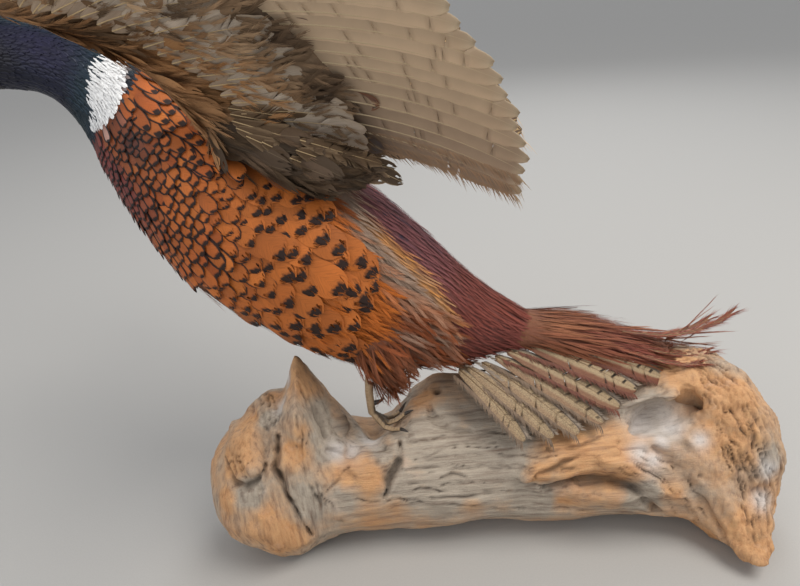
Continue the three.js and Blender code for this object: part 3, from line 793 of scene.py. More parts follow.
def layingTree():
    # one feather of a collection on each root, turned to the way it lies
    tree = bpy.data.node_groups.new("lay feathers", "GeometryNodeTree")
    sheet = Sheet(tree)
    ports = {}
    for name, kind in (("Geometry", "Geometry"), ("Vanes", "Collection"), ("Lift", "Float"),
                       ("Swing", "Float"),
                       ("Scale", "Float"), ("Seed", "Int"), ("Finish", "Material")):
        made = tree.interface.new_socket(name, in_out="INPUT", socket_type="NodeSocket" + kind)
        ports[name] = made.identifier
    tree.interface.new_socket("Geometry", in_out="OUTPUT", socket_type="NodeSocketGeometry")
    given = tree.nodes.new("NodeGroupInput")
    port = {name: Wire(sheet, given.outputs[name]) for name in ports}

    def stored(name, kind):
        return sheet.node("GeometryNodeInputNamedAttribute", {"data_type": kind}, {"Name": name})

    def chance(low, high, offset):
        return sheet.node("FunctionNodeRandomValue", {"data_type": "FLOAT"},
                          {2: low, 3: high, "Seed": port["Seed"] + offset}, 1)

    stands = sheet.node("FunctionNodeAxesToRotation", {"primary_axis": "Z", "secondary_axis": "Y"},
                        {"Primary Axis": stored("out", "FLOAT_VECTOR"),
                         "Secondary Axis": stored("lie", "FLOAT_VECTOR")})
    swing = port["Swing"]
    tilt = sheet.node("ShaderNodeCombineXYZ", {}, {
        0: port["Lift"] * stored("raise", "FLOAT") + swing * chance(-0.15, 0.25, 1),
        1: swing * chance(-0.4, 0.4, 2), 2: swing * chance(-1.0, 1.0, 3)})
    by = sheet.node("FunctionNodeEulerToRotation", {}, {0: tilt})
    turned = sheet.node("FunctionNodeRotateRotation", {"rotation_space": "LOCAL"},
                        {"Rotation": stands, "Rotate By": by})
    shapes = sheet.node("GeometryNodeCollectionInfo", {},
                        {"Collection": port["Vanes"], "Separate Children": True,
                                                          "Reset Children": True})
    size = sheet.node("ShaderNodeVectorMath", {"operation": "SCALE"}, {
        0: stored("size", "FLOAT_VECTOR"), "Scale": port["Scale"] * chance(0.88, 1.12, 4)})
    laid = sheet.node("GeometryNodeInstanceOnPoints", {}, {
        "Points": port["Geometry"], "Instance": shapes, "Pick Instance": True,
        "Instance Index": stored("kind", "INT"), "Rotation": turned, "Scale": size})
    solid = sheet.node("GeometryNodeRealizeInstances", {}, {"Geometry": laid})
    dressed = sheet.node("GeometryNodeSetMaterial", {}, {"Geometry": solid, "Material": port["Finish"]})
    end = tree.nodes.new("NodeGroupOutput")
    tree.links.new(dressed.socket, end.inputs["Geometry"])
    return tree, ports


layFeathers, layPorts = layingTree()


def lay(name, roots, shapes, finish, scale=1.0, lift=0.15, swing=0.12, seed=1):
    # roots: point, lie, out, width, length, tint, marks and unwrap place of each feather
    mesh = bpy.data.meshes.new(name)
    mesh.from_pydata(roots["point"].tolist(), [], [])
    count = len(roots["point"])
    rng = np.random.default_rng(seed)
    setAttribute(mesh, "lie", "FLOAT_VECTOR", roots["lie"])
    setAttribute(mesh, "out", "FLOAT_VECTOR", roots["out"])
    setAttribute(mesh, "size", "FLOAT_VECTOR", np.stack([roots["width"], roots["length"], roots["length"]],
                                                        axis=1))
    setAttribute(mesh, "raise", "FLOAT", roots.get("raise", np.ones(count)))
    setAttribute(mesh, "tint", "FLOAT_COLOR", roots["tint"])
    setAttribute(mesh, "marks", "FLOAT_VECTOR", roots["marks"])
    setAttribute(mesh, "chance", "FLOAT", rng.random(count))
    setAttribute(mesh, "root", "FLOAT_VECTOR", np.hstack([roots["unwrap"], np.zeros((count, 1))]))
    setAttribute(mesh, "kind", "INT", rng.integers(0, len(vanes[shapes].objects), count))
    made = newObject(name, mesh)
    modifier = made.modifiers.new("lay", "NODES")
    modifier.node_group = layFeathers
    for port, value in (("Vanes", vanes[shapes]), ("Lift", lift), ("Swing", swing), ("Scale", scale),
                        ("Seed", seed), ("Finish", finish)):
        modifier[layPorts[port]] = value
    applied(made)
    unwrapTufts(made.data)
    return made


def unwrapTufts(mesh, patch=0.003):     # each feather is a small patch at its root's place on the unwrap
    count = len(mesh.vertices)
    root = np.empty(count * 3, np.float32)
    web = np.empty(count * 3, np.float32)
    mesh.attributes["root"].data.foreach_get("vector", root)
    mesh.attributes["vane"].data.foreach_get("vector", web)
    root, web = root.reshape(-1, 3), web.reshape(-1, 3)
    place = root[:, :2] + patch / 2 * np.stack([web[:, 0], web[:, 1] * 2 - 1], axis=1)
    corner = np.empty(len(mesh.loops), np.int32)
    mesh.loops.foreach_get("vertex_index", corner)
    layer = mesh.uv_layers.new(name="OFBake")
    layer.data.foreach_set("uv", np.clip(place[corner], 0, 1).astype(np.float32).ravel())


# the skin opened out flat: body by station and angle, wings by their plane
def unwrapPlace(points, owner):
    t, turn, reach, way = bodyPlace(points)
    place = np.stack([0.02 + 0.96 * np.clip(t, -1, 10) / 10, 0.5 + 0.48 * turn / math.pi], axis=1)
    for side, sign in signOf.items():
        mine = ((owner == 4) | (owner == 5)) & (sideOf(points) == sign)
        x, s, lift = wingPlace(side, points[mine])
        along = 0.02 + 0.44 * np.clip((x + 0.28) / 0.30, 0, 1) + (0.5 if side == "right" else 0)
        out = 0.02 + 0.44 * np.clip((s + 0.08) / 0.30, 0, 1) + np.where(lift > 0, 0.5, 0)
        place[mine] = np.stack([along, out], axis=1)
    return np.clip(place, 0.005, 0.995)


def surfaceOf(made):
    mesh = made.data
    mesh.calc_loop_triangles()
    corners = np.empty(len(mesh.loop_triangles) * 3, np.int32)
    mesh.loop_triangles.foreach_get("vertices", corners)
    return {"points": pointsOf(mesh), "normals": normalsOf(mesh), "triangles": corners.reshape(-1, 3)}


def scatter(surface, owner, allowed, spacing, seed, crowd=9):
    # roots spread evenly over the allowed triangles, none nearer than its own spacing
    rng = np.random.default_rng(seed)
    tri = surface["triangles"]
    middle = surface["points"][tri].mean(1)
    keep = allowed(middle, owner[tri[:, 0]])
    tri, middle = tri[keep > 0], middle[keep > 0]
    if not len(tri):
        raise ValueError("no skin for these feathers")
    gap = spacing(middle, owner[tri[:, 0]])
    a, b, c = (surface["points"][tri[:, k]] for k in range(3))
    area = np.linalg.norm(np.cross(b - a, c - a), axis=1) / 2
    weight = area / gap ** 2
    count = int(weight.sum() * crowd)
    pick = rng.choice(len(tri), count, p=weight / weight.sum())
    r1, r2 = np.sqrt(rng.random(count)), rng.random(count)
    share = np.stack([1 - r1, r1 * (1 - r2), r1 * r2], axis=1)
    points = (surface["points"][tri[pick]] * share[..., None]).sum(1)
    normals = unit((surface["normals"][tri[pick]] * share[..., None]).sum(1))
    limit = gap[pick] ** 2
    kept = np.empty((count, 3))
    chosen = []
    for i in range(count):
        near = kept[:len(chosen)] - points[i]
        if len(chosen) and np.einsum("ij,ij->i", near, near).min() < limit[i]:
            continue
        kept[len(chosen)] = points[i]
        chosen.append(i)
    return {"point": points[chosen], "out": normals[chosen], "owner": owner[tri[pick[chosen], 0]],
            "gap": gap[pick[chosen]]}


def rootsFor(places, lengthGaps, widthGaps, marks=None):
    # fills in what a feather needs from where its root is
    count = len(places["point"])
    roots = dict(places)
    roots["lie"] = wayOf(places["point"], places["out"], places["owner"])
    roots["length"] = places["gap"] * lengthGaps
    roots["width"] = places["gap"] * widthGaps
    roots["tint"] = tintOf(places["point"], places["owner"])
    roots["marks"] = np.zeros((count, 3)) if marks is None else marks
    roots["unwrap"] = unwrapPlace(places["point"], places["owner"])
    return roots


# feather finishes


def webFinish(name, roughness=0.62, sheen=0.0, gloss=0.35, barbLines=34.0, barbDepth=0.22):
    # webbed feathers: barbs, dark scalloped edge, tip spot, shaft, and darker towards the root, partly the
    # feather's own colour and partly painted shade
    def paint(sheet):
        u, v, chance = sheet.parts(sheet.attribute("vane", "Vector"))
        edge, spot, shaft = sheet.parts(sheet.attribute("marks", "Vector"))
        own = sheet.attribute("chance", "Fac")
        side = abs(u)
        torn = sheet.noise(sheet.placed(), 900, 2) - 0.5
        rimSide = (1 - side) * 0.42
        rimTip = 1 - v
        rim = rimSide.least(rimTip + side * 0.05) + torn * 0.05
        dark = ((edge * 0.26 - rim) * 16).clamped()
        narrow = 0.80 - spot * 0.32
        jagged = sheet.noise(sheet.placed(), 330, 2) - 0.5
        wedge = ((spot * 0.20 - rimTip - (side - narrow).most(0) * 0.5 + u * 0.07 + jagged * 0.12)
                 * 16).clamped()
        wedge = wedge * (spot * 20).clamped()
        dark = (dark * (edge * 20).clamped()).most(wedge)
        barb = sheet.node("ShaderNodeCombineXYZ", {},
                          {0: (v - side * 0.35) * barbLines, 1: u * 1.6, 2: own * 37})
        lines = sheet.noise(barb, 1.0, 2)
        # darker towards each feather's root: partly its own colour, partly painted shade under the feathers
        # above
        barbToneAndRootShade = (1.12 - lines * barbDepth * 2) * (0.80 + own * 0.34) * (0.66 + v.between(0.0, 0.75) * 0.38)
        tint = sheet.scaled(sheet.attribute("tint"), barbToneAndRootShade)
        tint = sheet.mix((lines - 0.55).most(0) * 2.2, tint, sheet.scaled(sheet.attribute("tint"), 0.45))
        pale = ((0.07 - side) * 30).clamped() * shaft
        colour = sheet.mix(pale, tint, opaque("d8c4a0"))
        colour = sheet.mix(dark * 0.96, colour, opaque("0e0b0d"))
        return {"Base Color": colour, "Normal": sheet.bump(lines, 0.00012, 0.7)}
    return finishOf(name, paint, Roughness=roughness, Sheen_Weight=sheen, Specular_IOR_Level=gloss)


def edgedFinish(name, edge, width=0.16, streak=0.0):
    # dark webbed feathers with a pale edge and shaft
    def paint(sheet):
        u, v, chance = sheet.parts(sheet.attribute("vane", "Vector"))
        own = sheet.attribute("chance", "Fac")
        edging, spot, shaft = sheet.parts(sheet.attribute("marks", "Vector"))
        side = abs(u)
        torn = sheet.noise(sheet.placed(), 900, 2) - 0.5
        rim = ((1 - side) * 0.42).least(1 - v + side * 0.05) + torn * 0.05
        pale = ((width - rim) * 14).clamped() * (0.10 + own * 0.5) * edging
        lines = ((v * 30 - side * 11 + own * 9) * 6.283).sin() * 0.5 + 0.5
        tint = sheet.scaled(sheet.attribute("tint"), (0.62 + own * 0.55) * (1 - lines * 0.14))
        middle = ((0.30 - side) * 4).clamped() * streak
        tint = sheet.mix(middle, tint, opaque("c8ae84"))
        colour = sheet.mix(pale, tint, opaque(edge))
        colour = sheet.mix(((0.05 - side) * 30).clamped() * shaft * 0.8, colour, opaque("c9b28c"))
        return {"Base Color": colour, "Normal": sheet.bump(lines, 0.00012, 0.6)}
    return finishOf(name, paint, Roughness=0.62, Specular_IOR_Level=0.3)


def strandFinish(name, roughness=0.7, variety=0.55):
    # loose feathers: every barb a slightly different shade, and darker at its foot as painted shade
    def paint(sheet):
        u, v, chance = sheet.parts(sheet.attribute("vane", "Vector"))
        own = sheet.attribute("chance", "Fac")
        shade = (1 - variety / 2) + chance * variety * 0.7 + own * variety * 0.35
        # darker towards the foot: painted shade
        tint = sheet.scaled(sheet.attribute("tint"), shade * (0.65 + v.between(0.0, 0.6) * 0.40))
        return {"Base Color": tint}
    return finishOf(name, paint, Roughness=roughness, Specular_IOR_Level=0.25)


def silkFinish(name="neckSilk"):
    # neck feathers: blue, green and violet gloss
    def paint(sheet):
        own = sheet.attribute("chance", "Fac")
        u, v, chance = sheet.parts(sheet.attribute("vane", "Vector"))
        place = sheet.placed()
        cloud = sheet.noise(place, 60, 2)
        tint = sheet.mix((cloud * 1.4 - 0.45 + own * 0.3).clamped() * 0.30, sheet.attribute("tint"),
                         opaque("22203c"))
        # v * 0.2: darker towards each feather's root as painted shade
        return {"Base Color": sheet.scaled(tint, 0.50 + own * 0.35 + v * 0.2), "Metallic": 0.30 + cloud * 0.2}
    return finishOf(name, paint, Roughness=0.42)


def snowFinish():
    def paint(sheet):
        u, v, chance = sheet.parts(sheet.attribute("vane", "Vector"))
        # grey at the root, white towards the tip: painted shade at the feather roots
        tint = sheet.mix(v.between(0.0, 0.5), opaque("dcdcde"), opaque("f8f8f8"))
        return {"Base Color": sheet.scaled(tint, 0.86 + chance * 0.14)}
    return finishOf("ringWhite", paint, Roughness=0.8, Specular_IOR_Level=0.2)


finishes = {
    "neck": silkFinish(),
    "ring": snowFinish(),
    "web": webFinish("bodyWeb"),
    "wingWeb": webFinish("wingWeb", 0.75, 0.0, 0.2, 26, 0.16),
    "strand": strandFinish("looseBarbs"),
    "softStrand": strandFinish("wingDown", 0.85, 0.6),
    "overWing": edgedFinish("overWing", "8b5b3c", 0.12, 0.35),
    "shoulder": edgedFinish("shoulderFeather", "b59a72", 0.07),
}

# the coat

surface = surfaceOf(skin)


def onBody(test, ahead=0.0):            # which skin triangles a body coat covers; its feathers reach ahead
    def allowed(points, owner):
        t, turn, reach, way = bodyPlace(points)
        zones = zoneShares(t + ahead, turn)
        return (owner == 0) & test(t, np.degrees(np.abs(turn)), zones)
    return allowed


def isVent(ahead):
    return onBody(lambda t, deg, zones: zones["vent"] > 0.35, ahead)


def withThighs(*tests):
    return lambda points, owner: np.any([test(points, owner) for test in tests] + [owner == 2], axis=0)


def onWing(test):                       # which skin triangles a wing coat covers
    def allowed(points, owner):
        keep = np.zeros(len(points), bool)
        for side, sign in signOf.items():
            mine = ((owner == 4) | (owner == 5)) & (sideOf(points) == sign)
            x, s, lift = wingPlace(side, points[mine])
            keep[mine] = test(x, s, lift, owner[mine])
        return keep
    return allowed


def fromEdge(edge, x, s):               # how far a place lies from the front or rear edge of the wing's arm
    return segmentDistance(np.stack([x, s], axis=1), np.array(wing[edge]))[0]


def fixedGap(gap):
    return lambda points, owner: np.full(len(points), gap)


bodyStations = rowAt(bird["rows"], np.arange(10)).reshape(-1, 5)
midLine = bodyStations[:, [0, 1]] / 2 + bodyStations[:, [2, 3]] / 2
stationPitch = np.linalg.norm(np.gradient(midLine, axis=0), axis=1)    # metres from one body row to the next


def scaleShare(t):                      # how far apart the rows are, against the width of a scale
    return 0.80 - 0.24 * smoothStep(4.1, 5.1, t)


def scaleRows(gapOf, low, high, length, seed, jitter=0.10, shareOf=scaleShare):
    # roots in rows round the body, each row set between the feathers of the row before
    rng = np.random.default_rng(seed)
    tree = BVHTree.FromPolygons(surface["points"].tolist(), surface["triangles"].tolist())
    angles = np.linspace(-math.pi, math.pi, 241)
    found = {"point": [], "out": [], "gap": [], "tip": [], "deg": [], "bare": []}
    ownerOf = skinOwner[surface["triangles"][:, 0]]
    t, row = low, 0
    while t < high:
        backX, backZ, bellyX, bellyZ, half = rowAt(bird["rows"], np.array([t]))[0]
        middle = np.array([(backX + bellyX) / 2, bird["midY"], (backZ + bellyZ) / 2])
        rise = np.array([(backX - bellyX) / 2, 0, (backZ - bellyZ) / 2])
        ways = np.cos(angles)[:, None] * rise + np.sin(angles)[:, None] * np.array([0, half, 0])
        ring, outs, bare = [], [], []
        for way in ways:
            hit, out, index, far = tree.ray_cast(Vector(middle), Vector(unit(way)))
            clear = hit is not None and ownerOf[index] == 0 and far < np.linalg.norm(way) * 1.12
            ring.append(np.array(hit) if clear else middle + way * 0.93)
            outs.append(np.array(out) if clear else unit(way))
            bare.append(clear)
        ring, outs, bare = np.array(ring), np.array(outs), np.array(bare)
        gaps = gapOf(np.full(len(angles), t), np.degrees(np.abs(angles)))
        stepSize = np.linalg.norm(np.diff(ring, axis=0), axis=1) / gaps[1:]
        total = np.concatenate([[0], np.cumsum(stepSize)])
        count = max(3, round(total[-1]))
        at = (np.arange(count) + 0.5 * (row % 2) + rng.uniform(-jitter, jitter, count)) * total[-1] / count
        place = np.clip(np.interp(at % total[-1], total, np.arange(len(angles))), 0, len(angles) - 1.001)
        before, share = place.astype(int), (place % 1)[:, None]
        point = ring[before] * (1 - share) + ring[before + 1] * share
        gap = np.interp(place, np.arange(len(angles)), gaps)
        pitch = np.interp(t, np.arange(10), stationPitch)
        found["point"].append(point)
        found["out"].append(unit(outs[before]))
        found["gap"].append(gap)
        found["bare"].append(bare[before] & bare[before + 1])
        found["tip"].append(t + gap * length / pitch)
        found["deg"].append(np.degrees(np.abs(np.interp(place, np.arange(len(angles)), angles))))
        t += gapOf(np.array([t]), np.array([95.0]))[0] * shareOf(t) / pitch
        row += 1
    places = {key: np.concatenate(values) for key, values in found.items()}
    count = len(places["point"])
    places["point"] = (places["point"]
                       + rng.uniform(-1, 1, (count, 3)) * (jitter * places["gap"])[:, None] * 0.5)
    places["owner"] = np.zeros(count, int)
    return chosen(places, places["bare"])


def chosen(places, keep):
    return {key: values[keep] for key, values in places.items()}


plumage = {
    "scaleLength": 2.5, "scaleWidth": 1.36,
}


def scaleGap(t, deg):                   # scales grow from the collar back
    small = 0.0052 + 0.0020 * smoothStep(2.6, 3.9, t)
    return (small + 0.0042 * smoothStep(4.0, 4.8, t) + 0.0062 * smoothStep(4.6, 5.5, t)
            - 0.0010 * smoothStep(110, 150, deg))


def mantleGap(t, deg):
    return np.full(len(t), 0.0088)


def shoulderMarks(places):              # pale edges and shafts grow stronger towards the rear feathers
    rear = smoothStep(-0.085, -0.055, places["point"][:, 0])
    return np.stack([rear * 1.4, 0 * rear, 0.15 + 0.75 * rear], axis=1)


def scaleMarks(tip, deg):               # black edge all round, then a crescent, then a spot
    change = np.interp(deg, scaleEnd["angle"], scaleEnd["station"])
    crescent = smoothStep(-0.15, 0.25, tip - change)
    spotted = smoothStep(0.45, 0.95, tip - change)
    edge = 0.68 * (1 - crescent) + 0.36 * crescent * (1 - spotted)
    spot = 0.30 + 0.34 * crescent + 0.30 * spotted
    return np.stack([edge, spot, 0 * tip], axis=1)


def layScales():
    seed = 60
    rows = scaleRows(scaleGap, 2.25, 7.3, plumage["scaleLength"] * 0.85, seed)
    front = np.interp(rows["deg"], ringEdges["angle"], ringEdges["rear"])
    t = bodyPlace(rows["point"])[0]
    behind = (t > front + 0.20 * smoothStep(75, 20, rows["deg"])) | ((rows["deg"] > 119) & (t > 2.38))
    ending = np.interp(rows["deg"], flankEnd["angle"], flankEnd["station"])
    dark = (rows["deg"] > 137) & (rows["tip"] > 4.9)
    under = behind & (rows["tip"] < ending + 0.02) & ~dark
    mantle = (rows["deg"] < 58) & (rows["tip"] < 4.6)
    change = np.interp(rows["deg"], scaleEnd["angle"], scaleEnd["station"])
    early = rows["tip"] < change + 0.2
    groups = {"coat_breast": (chosen(rows, under & early & ~mantle), "scale", 0.165),
              "coat_flank": (chosen(rows, under & ~early & ~mantle), "broad", 0.115)}
    upper = scaleRows(mantleGap, 2.4, 4.9, plumage["scaleLength"] * 0.85, seed + 1, 0.14, lambda t: 0.95)
    t = bodyPlace(upper["point"])[0]
    front = np.interp(upper["deg"], ringEdges["angle"], ringEdges["rear"]) + 0.20
    groups["coat_mantle"] = (chosen(upper, (upper["deg"] < 62) & (upper["tip"] < 4.7) & (t > front)),
                             "pointed", 0.175)
    for order, (name, (places, shapes, lift)) in enumerate(groups.items()):
        marks = scaleMarks(places["tip"], places["deg"])
        if name == "coat_mantle":
            marks = np.tile((0.50, 1.15, 0.0), (len(places["point"]), 1))
        roots = rootsFor(places, plumage["scaleLength"], plumage["scaleWidth"], marks)
        made = lay(name, roots, shapes, finishes["web"], 1.0, lift, 0.08, seed + 10 + order)
        finished(made, "plumage_body")
        print(name, len(roots["point"]), "feathers,", len(made.data.polygons), "faces")


coats = {
    "coat_neck": dict(
        where=onBody(lambda t, deg, z: (z["neck"] > 0.5)),
        gap=fixedGap(0.0021), length=3.3, width=1.5, shapes="down", finish="neck", lift=0.13,
        swing=0.16, slot="plumage_neck"),
    "coat_ring_down": dict(
        where=onBody(lambda t, deg, z: z["ring"] > 0.45, 0.08),
        gap=fixedGap(0.0022), length=3.0, width=1.7, shapes="down", finish="ring", lift=0.16,
        swing=0.20, slot="plumage_neck"),
    "coat_ring": dict(
        where=onBody(lambda t, deg, z: z["ring"] > 0.45, 0.13),
        gap=fixedGap(0.0021), length=3.6, width=2.6, shapes="spiky", finish="ring", lift=0.20,
        swing=0.26, slot="plumage_neck"),
    "coat_fray": dict(
        where=onBody(lambda t, deg, z: (z["flank"] > 0.9) & (z["past"] < 0.2) & (z["rump"] < 0.4), 0.50),
        gap=fixedGap(0.0105), length=2.3, width=0.9, shapes="hair", finish="strand", lift=0.085,
        swing=0.20, slot="plumage_body"),
    "coat_belly": dict(
        where=onBody(lambda t, deg, z: z["belly"] > 0.35),
        gap=fixedGap(0.0060), length=3.4, width=1.9, shapes="hair", finish="strand", lift=0.05,
        swing=0.10, slot="plumage_body"),
    "coat_grey": dict(
        where=onBody(lambda t, deg, z: z["grey"] > 0.35, 0.80),
        gap=fixedGap(0.0048), length=5.4, width=2.6, shapes="plume", finish="strand", lift=0.10,
        swing=0.22, slot="plumage_body"),
    "coat_vent": dict(
        where=withThighs(isVent(0.85), isVent(0.15)),
        gap=fixedGap(0.0043), length=6.2, width=2.6, shapes="plume", finish="strand", lift=0.15,
        swing=0.34, slot="plumage_body"),
    "coat_rump": dict(
        where=onBody(lambda t, deg, z: (z["rump"] > 0.4) | (z["gold"] > 0.5), 0.25),
        gap=fixedGap(0.0042), length=4.4, width=2.2, shapes="hair", finish="strand", lift=0.085,
        swing=0.16, slot="plumage_rump"),
    "coat_thighs": dict(
        where=lambda p, owner: owner == 2,
        gap=fixedGap(0.0034), length=6.4, width=2.4, shapes="hair", finish="strand", lift=0.12,
        swing=0.36, slot="plumage_body"),
    "coat_head": dict(
        where=lambda p, owner: (owner == 1) & (p[:, 0] > -0.350),
        gap=fixedGap(0.0019), length=2.8, width=1.5, shapes="down", finish="neck", lift=0.18,
        swing=0.16, slot="plumage_neck"),
    "coat_under_wing": dict(
        where=onWing(lambda x, s, lift, owner: (lift > 0.001) & (owner == 4)
            & (fromEdge("rear", x, s) > 0.014) & (fromEdge("lead", x, s) > 0.006)),
        gap=fixedGap(0.0050), length=4.4, width=2.5, shapes="plume", finish="softStrand", lift=0.20,
        swing=0.30, ruffle=0.9, slot="plumage_wing"),
    "coat_under_wing_webs": dict(
        where=onWing(lambda x, s, lift, owner: (lift > 0.001) & (owner == 4)
            & (fromEdge("rear", x, s) > 0.022)),
        gap=fixedGap(0.0085), length=3.0, width=1.5, shapes="soft", finish="wingWeb", lift=0.10,
        swing=0.25, ruffle=0.5, slot="plumage_wing"),
    "coat_wing_front": dict(
        where=onWing(lambda x, s, lift, owner: (owner == 4) & (fromEdge("lead", x, s) < 0.014)),
        gap=fixedGap(0.0034), length=3.4, width=1.7, shapes="plume", finish="softStrand", lift=0.16,
        swing=0.22, slot="plumage_wing"),
    "coat_over_wing": dict(
        where=onWing(lambda x, s, lift, owner: (lift <= -0.0005) & (owner == 4)
            & (fromEdge("rear", x, s) > 0.008) & (fromEdge("lead", x, s) > 0.009)),
        gap=fixedGap(0.0100), length=2.7, width=1.5, shapes="broad", finish="overWing", lift=0.08,
        swing=0.10, marks=lambda places: np.full((len(places["point"]), 3), 1.0), slot="plumage_wing"),
    "coat_shoulders": dict(
        where=onWing(lambda x, s, lift, owner: (owner == 5) & (x < -0.052)),
        gap=fixedGap(0.0075), length=4.0, width=1.6, shapes="soft", finish="shoulder", lift=0.07,
        swing=0.24, marks=shoulderMarks, slot="plumage_wing"),
    "coat_shoulder_down": dict(
        where=onWing(lambda x, s, lift, owner: (owner == 5) & (x < -0.07)),
        gap=fixedGap(0.0060), length=4.2, width=2.2, shapes="plume", finish="softStrand", lift=0.10,
        swing=0.34, slot="plumage_wing"),
    "coat_tail_root": dict(
        where=lambda p, owner: ((owner == 3) & (p[:, 0] < 0.115)) | ((owner == 0) & (p[:, 0] > 0.035)),
        gap=fixedGap(0.0042), length=7.5, width=2.4, shapes="hair", finish="strand", lift=0.11,
        swing=0.16, slot="plumage_rump"),
    "coat_tail": dict(
        where=lambda p, owner: owner == 3,
        gap=fixedGap(0.0048), length=10.5, width=2.4, shapes="hair", finish="strand", lift=0.045,
        swing=0.16, slot="plumage_rump"),
}


def layCoat(name, coat, seed):
    places = scatter(surface, skinOwner, coat["where"], coat["gap"], seed)
    marks = coat["marks"](places) if "marks" in coat else None
    roots = rootsFor(places, coat["length"], coat["width"], marks)
    if "ruffle" in coat:
        turnBy = coat["ruffle"] * noiseAt(places["point"], 0.011, 21)[:, None]
        aside = np.cross(roots["out"], roots["lie"])
        roots["lie"] = unit(roots["lie"] * np.cos(turnBy) + aside * np.sin(turnBy))
        roots["raise"] = 1 + coat["ruffle"] * noiseAt(places["point"], 0.009, 22)
    made = lay(name, roots, coat["shapes"], finishes[coat["finish"]], 1.0, coat["lift"], coat["swing"], seed)
    finished(made, coat["slot"])
    print(name, len(roots["point"]), "feathers,", len(made.data.polygons), "faces")
    return made


layScales()
for order, (name, coat) in enumerate(coats.items()):
    layCoat(name, coat, 100 + order)

# the standpoint

view = {"place": (-0.040, -0.475, 0.4544), "down": 25.5, "roll": -5.49, "focal": 641.3, "picture": (800, 586)}


def viewAxes():
    down, roll = math.radians(view["down"]), math.radians(view["roll"])
    ahead = Vector((0, math.cos(down), -math.sin(down)))
    up = Vector((0, math.sin(down), math.cos(down)))
    across = Vector((1, 0, 0)) * math.cos(roll) + up * math.sin(roll)
    above = up * math.cos(roll) - Vector((1, 0, 0)) * math.sin(roll)
    return across, above, ahead


def pictureRay(px, py):                 # the way from the camera through a point of its picture
    across, above, ahead = viewAxes()
    wide, tall = view["picture"]
    return (ahead + across * (px - wide / 2) / view["focal"]
            - above * (py - tall / 2) / view["focal"]).normalized()


# long feathers


def newHeap():
    return {"points": [], "faces": [], "vane": [], "under": [], "tint": [], "marks": [], "uv": [], "count": 0}


def pile(heap, points, faces, vane, under, tint, marks, uv):
    heap["faces"] += [tuple(heap["count"] + i for i in face) for face in faces]
    heap["points"].append(points)
    heap["vane"].append(vane)
    heap["under"].append(np.full(len(points), under) if np.isscalar(under) else under)
    heap["tint"].append(np.broadcast_to(tint, (len(points), 3)))
    heap["marks"].append(np.broadcast_to(marks, (len(points), 3)))
    heap["uv"].append(uv)
    heap["count"] += len(points)


def pieceOf(name, heap, material):
    made = newObject(name, newMesh(name, np.vstack(heap["points"]), heap["faces"]))
    mesh = made.data
    setAttribute(mesh, "vane", "FLOAT_VECTOR", np.vstack(heap["vane"]))
    setAttribute(mesh, "under", "FLOAT", np.concatenate(heap["under"]))
    setAttribute(mesh, "tint", "FLOAT_COLOR", np.vstack(heap["tint"]))
    setAttribute(mesh, "marks", "FLOAT_VECTOR", np.vstack(heap["marks"]))
    corner = np.empty(len(mesh.loops), np.int32)
    mesh.loops.foreach_get("vertex_index", corner)
    layer = mesh.uv_layers.new(name="OFBake")
    layer.data.foreach_set("uv", np.vstack(heap["uv"])[corner].astype(np.float32).ravel())
    return wear(made, material)


def stripCell(index, total, vane, under):   # a feather's own strip of the unwrap
    across = (index + 0.5 + np.where(under > 0.5, 0.24, -0.24) + 0.20 * vane[:, 0]) / total
    return np.stack([np.clip(across, 0, 1), 0.02 + 0.96 * np.clip(vane[:, 1], 0, 1)], axis=1)


